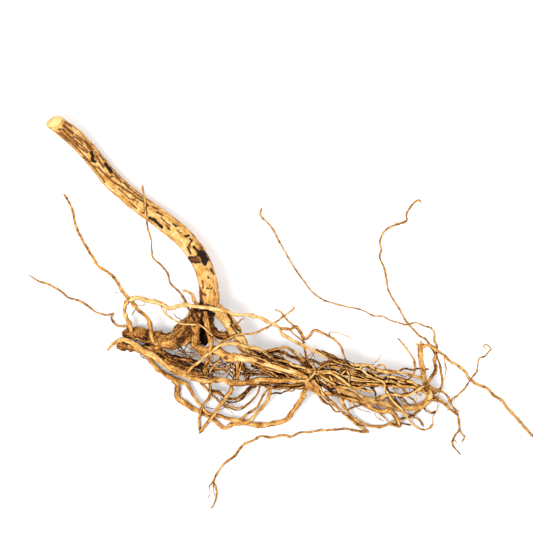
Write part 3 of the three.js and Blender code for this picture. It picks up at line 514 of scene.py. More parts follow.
crownRootsRoutes = [
    # root down the front of the crown
    dict(tone=0.36, rough=0.6, girth=[4.4, 4, 3.6, 3.2, 2.6, 2.4, 2.2], route=[
        (-54.2, 0.5, 27), (-53.6, -4, 27), (-52.8, -8.5, 26.2), (-51.3, -14.2, 25.6),
        (-49.6, -21, 26.6), (-50.3, -27, 26), (-52, -32.4, 22), (-53.3, -38.5, 17.6),
        (-52.8, -44.6, 13.6)]),
    # crossed twig, lower left to right
    dict(tone=0.3, girth=[1.6, 1.3, 1.3, 1.3, 1.3, 1.2], route=[
        (-50, -13, 20), (-47.5, -17.5, 22.5), (-44, -19.7, 25), (-39.5, -18.8, 26.6), (-34, -15.8, 27),
        (-26.6, -14.8, 25.4), (-19.5, -13.9, 23.8), (-14.1, -11.2, 22), (-8.8, -8.5, 20.4),
        (-2.9, -4.3, 19.2), (2.4, -0.3, 18.4), (6.8, 3, 18)]),
    # pale root over the top
    dict(tone=[0.3, 0.12, 0.16, 0.3], girth=[1.8, 1.8, 2, 2.2, 2.4, 2.4], route=[
        (-66, -41.4, 13.4), (-62.5, -37, 17.4), (-58, -33.6, 20.4), (-53.8, -29.6, 24),
        (-50.5, -27.2, 26.6), (-47, -24.6, 28), (-42.8, -21.8, 28.4), (-38.2, -21, 28),
        (-33.8, -21, 27), (-29.3, -22.1, 26.2), (-24.8, -23.6, 25.2), (-17.9, -24.9, 23.6),
        (-11.6, -28.5, 22.2), (-8, -31.5, 21.6)]),
    # second root in the bundle
    dict(tone=0.42, girth=[3, 3, 2.8, 2.6], route=[
        (-25.5, -24.6, 22.4), (-20, -28.4, 23), (-13.4, -30.7, 23), (-5, -34, 22.6), (4.5, -36.2, 22.2),
        (12, -37.4, 21.6), (19, -39.5, 20.4)]),
    # upper arc
    dict(tone=0.42, girth=[1.8, 1.8, 1.8], route=[
        (-13, -26.6, 21), (-6.7, -24.9, 21.6), (0, -23.7, 21.6), (5.8, -26.7, 21), (10.2, -31.1, 20.4),
        (14, -35, 20), (17, -39, 20)]),
    # lower arc
    dict(tone=0.5, girth=[1.8, 1.8, 1.8], route=[
        (-14, -29.4, 20.4), (-6.3, -26.9, 20), (-0.4, -27.8, 19.6), (4.9, -30.3, 19.6), (10, -33, 19.4),
        (15.5, -38, 19.4)]),
    # painted shade: near-black strands fill the core of the crown where it lies in shadow
    dict(tone=1.3, rough=0.9, girth=[5.6, 6.6, 6.8, 6], route=[
        (-55.4, 0, 15.4), (-54.8, -7, 14), (-54.5, -14, 13.4), (-54.3, -22.5, 13.4)]),
    dict(tone=1.3, girth=[3, 3, 2.4], route=[
        (-51.2, 2, 17), (-50.8, -3, 16), (-51, -7, 15)]),
    # hairs on the dark root
    dict(tone=0.5, girth=[0.5, 0.5, 0.4], route=[
        (-47.6, -12.4, 21.6), (-46.6, -10.8, 22.4), (-45.4, -11.4, 23)]),
    dict(tone=0.45, girth=[0.5, 0.4], route=[
        (-44, -13.8, 21), (-43, -12, 22), (-41.4, -12.6, 22.6)]),
    dict(tone=0.5, girth=[0.5, 0.4], route=[
        (-41.2, -13.8, 21), (-39.6, -12.2, 22), (-38.6, -13.2, 22.4)]),
    # pale root over the trunk
    dict(tone=0.16, girth=[1.1, 1.1, 1.2], route=[
        (-83.5, 3.8, 22), (-80.4, -0.7, 23), (-76.8, -3.8, 25.4), (-73.2, -5.8, 26.8),
        (-70.1, -7.6, 27.8), (-67.4, -8.1, 28.6), (-62.3, -8.3, 29.2), (-58.3, -8.5, 29.4),
        (-55.2, -9.9, 29), (-52, -13, 28), (-49, -15.5, 26.8), (-47, -17.8, 25), (-45, -19.5, 25.4),
        (-41, -19.8, 26)]),
    # strands down from the pale root
    dict(tone=0.36, girth=[2.2, 2.2, 2.2], route=[
        (-32.6, -31.6, 25.5), (-32.1, -35.6, 22.5), (-31.9, -39.2, 19.6), (-32.1, -43.2, 17.4),
        (-32.4, -47, 15.6)]),
    dict(tone=0.62, girth=[1.6, 1.8, 1.6], route=[
        (-29.6, -31.6, 25.5), (-29, -34.7, 22.5), (-28.1, -37.9, 20), (-26.8, -42.3, 17.6),
        (-25.9, -45.4, 16.5), (-25.4, -48, 15.6)]),
    dict(tone=0.5, girth=[1.4, 1.2], route=[
        (-36.8, -32, 25), (-35.7, -36.1, 22), (-34.4, -39.2, 19.4), (-34.6, -44, 17),
        (-35.6, -47.4, 15.6)]),
    dict(tone=0.3, girth=[1.6, 1.6, 1.4], route=[
        (-53, -45.6, 13), (-51.5, -42, 14.8), (-50, -39, 17.2), (-47.6, -35.9, 20), (-45.3, -33.6, 22),
        (-42.6, -29.6, 24.4)]),
    # wavy rootlet
    dict(tone=0.32, girth=[1, 1, 0.9], route=[
        (-53.4, -40.4, 16.4), (-50, -38.5, 17.6), (-47, -37.5, 18.2), (-44, -38.3, 18.4),
        (-41, -37.5, 18.6), (-38, -37.3, 18.8), (-36.5, -36, 20), (-33.6, -33, 24)]),
    dict(tone=0.66, girth=[1.8, 1.8], route=[
        (-33, -40.6, 17.4), (-26, -41.9, 17), (-18.8, -41.9, 17.4), (-12, -41.4, 17.8),
        (-5, -43.6, 17.8), (2, -45.6, 17.8)]),
    dict(tone=0.4, girth=[1.4, 1.2, 1.1], route=[
        (-19.6, -35.2, 20.4), (-14.3, -38.8, 19.6), (-9.8, -42.3, 18.8), (-5.4, -44.6, 18.2)]),
    dict(tone=0.3, girth=[1.2, 1.1, 1], route=[
        (-17, -34.7, 21), (-11.6, -38.8, 20.2), (-7.1, -41.4, 19.4), (-3.6, -43.7, 18.6)]),
    dict(tone=0.18, girth=[1.2, 1], route=[
        (-0.4, -41, 20), (1.8, -42.8, 19.6), (4, -44.8, 18.8)]),
    dict(tone=0.3, girth=[1.2, 1], route=[
        (5.4, -40.1, 20.6), (8, -42.3, 20), (10.3, -44.1, 19.4)]),
    dict(tone=0.3, girth=[1, 0.8], route=[
        (-32.9, -7, 23), (-31.1, -6.9, 23.6), (-29.5, -4.9, 24), (-27.2, -4.3, 24)]),
    dict(tone=0.45, girth=[1.2, 1], route=[
        (-5.4, -27.1, 22), (-2.7, -28.9, 22), (-0.4, -32.1, 22)]),
    # strand between the two
    dict(tone=0.3, girth=[2.4, 2.4, 2.2], route=[
        (0, -35, 22.6), (5, -36, 22.2), (12, -37.5, 21.6), (17, -38.5, 20.8), (20, -39, 20.2)]),
    # dark strand under the sheaf
    dict(tone=0.6, girth=[1, 1], route=[
        (-9.8, -55.3, 12), (-5.8, -54.4, 12.4), (-2.7, -54.8, 12.6), (-0.4, -53.5, 13),
        (2.2, -53, 13.4), (4.9, -53.3, 14), (6.7, -51.7, 14.6)]),
    dict(tone=0.3, girth=[1.2, 1.3, 1.2], route=[
        (-24, -33.6, 24), (-18, -36, 23), (-10, -38.4, 22), (-2, -40.6, 21), (6, -42.6, 20.4),
        (13, -43.6, 20)]),
    dict(tone=0.55, girth=[1.1, 1.1], route=[
        (-30, -38.5, 18.6), (-22, -39.4, 18.6), (-13, -40.6, 18.8), (-4, -42.8, 18.8), (5, -44.6, 18.8),
        (12, -44.6, 19)]),
    # strands beside the pale shoulder
    dict(tone=0.26, girth=[1.6, 1.6, 1.5], route=[
        (-22.7, -28.2, 24.4), (-17.4, -29.3, 24.4), (-13.2, -30.4, 24.2), (-8.9, -31.7, 24),
        (-3.3, -32.4, 23.8), (1.7, -33.7, 23.6), (4.6, -35.5, 23.2), (9.3, -36.6, 23.2)]),
    dict(tone=0.22, girth=[0.9, 0.9], route=[
        (-15.4, -26.5, 24), (-12.3, -28.9, 24.6), (-8.9, -31.3, 24.6)]),
    # roots under the shoulder, painted dark as its shade
    dict(tone=0.9, rough=1.2, girth=[3, 3.2, 2.8, 2.4], route=[
        (-22.7, -35.5, 17), (-16, -37.2, 16.6), (-11.8, -38.6, 16.6), (-7.5, -40.3, 16.6),
        (-3.3, -42, 16.6), (0.9, -43.1, 16.6), (6.5, -43.7, 16.6)]),
    dict(tone=0.42, girth=[1.3, 1.2, 1.2], route=[
        (-19.1, -35.8, 20.4), (-16, -38.3, 20), (-13.2, -40.8, 19.4), (-8.9, -41.7, 19)]),
    dict(tone=0.36, girth=[1.4, 1.3, 1.3], route=[
        (-16.5, -36.6, 21), (-13.2, -38.9, 20.6), (-9.8, -40.3, 20), (-6.1, -42.5, 19.4),
        (-3.3, -44.5, 19)]),
    dict(tone=0.3, girth=[1.2, 1.1], route=[
        (-10.3, -39.7, 21), (-7.5, -41.7, 20.4), (-4.7, -43.7, 19.8)]),
    dict(tone=0.62, girth=[1.4, 1.3, 1.4], route=[
        (-8.9, -25.4, 21), (-3.3, -26.1, 21), (0.9, -27.3, 21), (2.3, -28.7, 21), (5.1, -29.9, 20.9),
        (9.9, -30.4, 20.8)]),
    dict(tone=0.32, girth=[1.3, 1.3, 1.2], route=[
        (5.4, -25.4, 21.6), (7.1, -27.3, 21.8), (8.8, -29.3, 21.8), (11, -31, 21.8),
        (13.6, -33.2, 21.4)]),
    dict(tone=0.7, girth=[0.6, 0.6], route=[
        (-2.8, -28.7, 22), (-0.5, -32, 22.6)]),
    dict(tone=0.95, girth=[0.9, 0.9], route=[
        (-5.6, -33.7, 23), (-3.3, -35.5, 23.2), (0.9, -36.9, 23), (5.1, -37.5, 22.8),
        (9.3, -38.7, 22.2)]),
    dict(tone=0.18, girth=[1.8, 1.8, 1.6], route=[
        (2.9, -33.9, 23.4), (5.1, -35.8, 23.6), (9.3, -36.6, 23.3), (14.2, -38, 23)]),
    dict(tone=0.32, girth=[1.1, 1], route=[
        (-0.8, -40.3, 21.6), (0.9, -42.2, 21), (3.4, -44.5, 20)]),
    dict(tone=0.28, girth=[2.6, 2.8, 2.4], route=[
        (4.8, -39.2, 21), (7.6, -41.7, 20.8), (10.7, -43.9, 20.4), (13, -45.3, 20)]),
    dict(tone=0.26, girth=[1.4, 1.4], route=[
        (-3.3, -38, 22.6), (0.9, -39.7, 22.4), (5.4, -40.3, 22.2), (9.3, -42.5, 21.6)]),
    dict(tone=0.66, girth=[2, 2, 1.8], route=[
        (-8.7, -29.3, 19), (-4.7, -30.4, 19), (-0.5, -32.7, 19.2), (3.7, -34.1, 19.4)]),
    dict(tone=0.5, girth=[1.5, 1.6, 1.4], route=[
        (-20.5, -27.3, 22), (-16, -28.2, 22), (-11.5, -29.3, 22), (-7, -29.9, 21.6)]),
    # hairs over the light between the roots
    dict(tone=0.45, girth=[0.6, 0.5], route=[
        (-25, -38.3, 19), (-22.7, -39.4, 18.4), (-20.5, -37.5, 18.8), (-18.8, -35.8, 19.4)]),
    dict(tone=0.5, girth=[0.5, 0.5], route=[
        (-20.5, -41.4, 18), (-19.1, -39.7, 18.4), (-17.1, -38.6, 18.8)]),
    dict(tone=0.34, girth=[2.4, 2.4], route=[
        (-29.2, -31.8, 24), (-29.5, -34.4, 22), (-30.2, -36.9, 20.4), (-31.2, -39.7, 19),
        (-32.1, -42.8, 17.6), (-32.5, -46.2, 16)]),
    dict(tone=0.3, girth=[1.7, 1.7], route=[
        (-35.9, -49.8, 14), (-35.7, -52.1, 12.4), (-37.4, -54.1, 11), (-38.5, -56, 10)]),
]

lowerRootsRoutes = [
    # prop down to the left
    dict(tone=0.4, girth=[2.2, 2, 2, 1.8], route=[
        (-51, -45.5, 12.4), (-50.2, -53, 9), (-51, -57.6, 7.6), (-55.1, -62, 7), (-57, -68.2, 5),
        (-58.2, -73.6, 2.6), (-57.2, -81.6, 0.9)]),
    # prop over both hoops
    dict(tone=0.36, girth=[2.6, 2.4, 2.4, 2], route=[
        (-36.2, -46.5, 14.4), (-36.4, -52, 13), (-39.7, -57.1, 12.2), (-43.8, -62.9, 10.8),
        (-48.2, -69.6, 8.6), (-52.4, -74.5, 5.4), (-58, -82, 1)]),
    # sagging root
    dict(tone=0.42, girth=[2, 2, 2, 2], route=[
        (-59, -44.8, 11), (-55, -49.4, 9.6), (-50.6, -53.4, 8.6), (-44.2, -54.8, 8.6),
        (-39.3, -57.9, 8.6), (-31.3, -58, 9), (-26.8, -54.8, 10), (-22.3, -50.4, 12),
        (-15, -48.6, 13.6)]),
    # thinner sagging root
    dict(tone=0.45, girth=[1.4, 1.3, 1.3, 1.4], route=[
        (-51, -54.5, 8), (-47.3, -57.5, 7.4), (-41.1, -61.5, 7), (-35.3, -64.4, 7), (-28.1, -64, 7.6),
        (-23.2, -60.2, 9), (-19.2, -55.7, 10.6), (-16.5, -49.2, 13)]),
    # rootlet off the hoop
    dict(tone=0.45, girth=[1.6, 1.4, 1.4], route=[
        (-32, -74, 3.6), (-25.9, -69.1, 6), (-18.9, -64.2, 8.4), (-14.4, -55.7, 11), (-10.3, -50.4, 13)]),
    # strand beside the long root
    dict(tone=0.5, girth=[2.4, 2.2, 2.2, 2.6], route=[
        (-19, -46.2, 15), (-11.6, -47.4, 14.6), (-2.7, -48.6, 14.4), (7, -49, 15), (15, -46.6, 17.2)]),
    # lowest strand of all
    dict(tone=0.6, girth=[2.4, 2.6, 2.6, 2.8], route=[
        (-17.5, -48, 13.6), (-8.5, -50.6, 12.8), (-2.7, -50.8, 12.8), (5, -50.8, 13.4),
        (11.6, -50, 14.8), (16, -45.5, 17.6)]),
    dict(tone=0.5, ends={"tail": "point"}, girth=[0.6, 0.6, 0.5], route=[
        (-48.2, -57.1, 8), (-45.5, -59.7, 7), (-40.2, -64.2, 6), (-37.1, -66.4, 5.6), (-34.2, -69.6, 5)]),
    dict(tone=0.5, girth=[0.5, 0.4], route=[
        (-37.9, -59.7, 9), (-38.8, -62.4, 8.4), (-40.6, -64.2, 7.6), (-43.8, -66, 7)]),
    dict(tone=0.55, girth=[0.5, 0.4], route=[
        (-54.2, -63.8, 6), (-50.2, -64.9, 5.6), (-46.2, -65.5, 5.2)]),
    # fine rootlets in the window
    dict(tone=0.5, girth=[0.9, 0.8], route=[
        (-73, -24, 14), (-69.5, -26.6, 13.6), (-66, -29.4, 13.4), (-62, -31.6, 13.6)]),
    dict(tone=0.5, girth=[0.6, 0.5], route=[
        (-70, -23.5, 14.6), (-67.4, -27.2, 14), (-66.4, -31, 13.4)]),
    dict(tone=0.5, girth=[0.5, 0.5], route=[
        (-64, -24, 15), (-62.4, -27.4, 14.8), (-59.4, -30.8, 15.4)]),
    # reddish hairs under the trunk
    dict(tone=0.45, girth=[0.5, 0.5], route=[
        (-68, -22, 15), (-64, -24.5, 15), (-60, -26.5, 15)]),
    dict(tone=0.5, girth=[0.5, 0.4], route=[
        (-66, -21.5, 15), (-67.5, -25.5, 14.5), (-70, -28.5, 14)]),
    dict(tone=0.5, girth=[0.6, 0.5], route=[
        (-72, -26, 14), (-66, -27.2, 14), (-60.5, -27.5, 14.6)]),
    dict(tone=0.45, girth=[0.5, 0.4], route=[
        (-63.5, -22, 15), (-62, -26, 15), (-58.5, -29.5, 15.4)]),
    dict(tone=0.55, girth=[0.7, 0.6], route=[
        (-74, -27.6, 13), (-68, -29, 13.4), (-61, -30.6, 14)]),
    dict(tone=0.7, girth=[0.8, 0.7], route=[
        (-70.5, -23.5, 14), (-69, -25.5, 14), (-67, -26, 14.4)]),
    # brown strands above the long root
    dict(tone=0.66, girth=[1.8, 2, 1.8], route=[
        (-86.8, -28.5, 10), (-81, -32.4, 12), (-73.3, -35.5, 12.6), (-63.6, -38.4, 13.2),
        (-55, -41.3, 14), (-48.2, -43.5, 14.6)]),
    dict(tone=0.8, girth=[1.3, 1.4, 1.2], route=[
        (-76.2, -31.2, 12.6), (-66.5, -35.1, 13.4), (-57.9, -38, 14), (-49.2, -40.5, 15)]),
    dict(tone=0.5, girth=[1.2, 1.1, 1.2], route=[
        (-43.4, -31.4, 19), (-47.7, -35.1, 17), (-50, -38.2, 15.6), (-47.7, -41.6, 14.6)]),
    # net of rootlets over the window
    dict(tone=0.5, girth=[0.9, 0.8], route=[
        (-50.1, -37.7, 15), (-45.3, -39.3, 15), (-42.4, -38, 15.4), (-39.5, -39.7, 15.6),
        (-35.7, -40.3, 16), (-33.3, -43.5, 15)]),
    dict(tone=0.42, girth=[0.8, 0.8], route=[
        (-47.2, -34.8, 17), (-43.4, -38, 16.6), (-39.5, -40.3, 16), (-36.2, -43.2, 15.4),
        (-34.2, -45.9, 14.6)]),
    dict(tone=0.55, girth=[0.8, 0.7], route=[
        (-42.9, -31.6, 20), (-41, -36.1, 18), (-38.1, -39.3, 17), (-34.2, -42.2, 16)]),
    dict(tone=0.6, girth=[0.9, 0.8], route=[
        (-49.2, -42, 14), (-44.4, -36.3, 16), (-40, -34.5, 17.4), (-35.7, -33.4, 19)]),
    dict(tone=0.48, girth=[0.7, 0.6], route=[
        (-52.1, -38.2, 14), (-47.2, -40.5, 14.4), (-41.9, -41.7, 14.8), (-37.6, -38.2, 16.4)]),
    dict(tone=0.46, girth=[1.5, 1.5, 1.4], route=[
        (-28.9, -33.4, 20), (-26.2, -37.7, 17.6), (-23.9, -42, 16), (-25.3, -45.9, 14.6)]),
    dict(tone=0.6, girth=[1.2, 1.1], route=[
        (-28.4, -39.2, 17), (-23.1, -40.3, 17), (-17.4, -42, 17.2), (-10.6, -42.4, 17.6)]),
    dict(tone=0.72, girth=[1, 0.9], route=[
        (-40.5, -35.3, 17), (-34.7, -38.2, 16.6), (-28.9, -38.8, 16.8), (-23.1, -38.2, 18)]),
    dict(tone=0.66, girth=[1.2, 1.1], route=[
        (-56.9, -34.3, 14), (-52.1, -36.3, 15), (-47.2, -37.2, 15.6), (-41.5, -39.2, 15.8)]),
    dict(tone=0.55, girth=[0.8, 0.8], route=[
        (-58.8, -36.3, 13.6), (-55, -34.3, 15), (-49.2, -33.8, 16.4), (-42.4, -34.3, 18)]),
    dict(tone=0.78, girth=[1, 1], route=[
        (-69.4, -33.4, 12.8), (-61.7, -35.9, 13.6), (-54, -38.8, 14.2), (-47.2, -39.5, 14.8)]),
    dict(tone=0.5, girth=[0.9, 0.8], route=[
        (-34.7, -34.3, 20), (-32.8, -38.2, 18), (-33.8, -42, 16), (-32.8, -44.9, 15)]),
    dict(tone=0.4, girth=[0.8, 0.7], route=[
        (-39.5, -44, 14), (-37.1, -40.1, 16), (-37.4, -36.3, 18), (-36.2, -32.4, 20)]),
]

leftRunnersRoutes = [
    # pale cross root
    dict(tone=[0.16, 0.1, 0.06, 0.1, 0.12, 0.18],
         girth=[2.6, 2.8, 3, 2.6, 2.2, 2.3, 2.3, 2.2, 2, 2, 2, 1.8, 1.6], route=[
        (-105, 8, 16), (-99.6, 9.8, 17), (-93.8, 8, 18.4), (-87.5, 7, 20), (-82.1, 5.1, 21.2),
        (-78.1, 2.6, 22), (-72.3, 4.2, 24), (-67, 5, 26.2), (-62.5, 4.2, 28.4), (-56.1, 3.3, 30.2),
        (-51.6, 2.9, 30.8), (-47.1, 2, 30.6), (-42.7, 1.1, 29.6), (-38.2, 0, 28.4), (-33.8, -1.6, 27.2),
        (-25.7, -1.8, 25.4), (-17.7, -3.4, 24.2), (-11.4, -6.5, 23.8), (-5.2, -9.6, 23.6),
        (-1.2, -15, 23.6), (6.6, -19.9, 23.8), (16.4, -24.4, 24), (25.4, -28.8, 24), (33.4, -32, 23.6),
        (41.3, -34.6, 22.4), (49.3, -38.3, 20.4), (53, -42.5, 18.8)]),
    # long upper runner
    dict(tone=[0.3, 0.4, 0.35, 0.45], girth=[2.2, 2, 2, 2, 1.8, 1.6], route=[
        (-104.4, 8, 16), (-110.2, 15.5, 16.5), (-113.8, 21.7, 17), (-118.9, 26.6, 17), (-125.7, 31, 17),
        (-129.3, 36.7, 16.8), (-133.4, 43.4, 16.6), (-137.6, 50.8, 16.2), (-140.8, 58, 16),
        (-143, 68, 15.4), (-146.6, 75.8, 15), (-149.2, 79.8, 15)]),
    # outer arch
    dict(tone=0.32, girth=[2.6, 2.6, 2.8, 3], route=[
        (-105, 8.6, 16), (-107.5, 5, 15), (-108, 0.2, 13.4), (-106.4, -4.5, 11.4), (-104.3, -9.6, 9.4),
        (-103.4, -14.6, 7.4)]),
    # inner arch
    dict(tone=0.36, girth=[2.4, 2.4, 2.4, 2.6], route=[
        (-104, 7.6, 16), (-98.7, 1.5, 17), (-92.9, -3.8, 17.6), (-90.6, -9.6, 17.4), (-90, -16.3, 16),
        (-86.4, -21.2, 14.6), (-80, -22, 14.6)]),
    # floor runner
    dict(tone=0.4, ends={"tail": "point"}, girth=[1.4, 1.2, 1.2, 1.2, 1.2], route=[
        (-104.5, -12.6, 6), (-107.1, -9.7, 5), (-110.3, -9.7, 4), (-113.4, -9.2, 3), (-116.4, -6, 1.8),
        (-117.2, -3, 1.2), (-115.6, -1, 0.9), (-120.5, -2, 0.7), (-128, 0, 0.6), (-132.8, 3.9, 0.7),
        (-140.6, 8.2, 0.7), (-146, 9.4, 0.7), (-150, 13, 0.7), (-160.5, 19, 0.7), (-165.4, 20.4, 0.6),
        (-173.2, 25, 0.6)]),
    # thin runner over the stem
    dict(tone=[0.5, 0.46, 0.4, 0.34], girth=[1.6, 1.4, 1.3, 1.2, 1.2, 1.4], route=[
        (-60.5, -3, 24), (-65.2, 2.9, 23), (-67.4, 8.2, 22), (-71, 13.6, 20.4), (-77, 19.4, 18.4),
        (-79.3, 26.5, 17), (-83.9, 32, 15.8), (-88.6, 36, 15), (-89.9, 43, 14.6), (-89.9, 47.6, 14.4),
        (-92.2, 55.6, 14.2), (-93.6, 64.6, 14), (-94.6, 74.6, 14), (-96.2, 85.7, 14.4)]),
    # short hook
    dict(tone=0.35, girth=[2.4, 1.8, 1.6], route=[
        (-57.5, 4.4, 25), (-61, 7.4, 25.6), (-62.2, 11.4, 25.2), (-65, 13.6, 24), (-69, 14.8, 23)]),
    dict(tone=0.42, girth=[0.6, 0.5], route=[
        (-102.7, 6.4, 17), (-98.2, 4.2, 17.6), (-95.5, 4.6, 18), (-94.2, 5.8, 18.6)]),
    dict(tone=0.45, girth=[0.6, 0.5], route=[
        (-100.7, 1.7, 16.8), (-102.2, -0.3, 16), (-103.6, -2.5, 15)]),
    dict(tone=0.45, girth=[0.6, 0.5], route=[
        (-114.7, 13.6, 17), (-111.6, 12.7, 16.6), (-109.8, 14.6, 16.5)]),
    dict(tone=0.5, girth=[0.5, 0.5], route=[
        (-74.6, -0.7, 22), (-73.2, -3.4, 22), (-71, -4.3, 22), (-67.9, -6.5, 22)]),
    dict(tone=0.5, girth=[0.6, 0.5], route=[
        (-97.9, -28.5, 3.4), (-96.6, -30.3, 3), (-93, -32.1, 2.8)]),
]

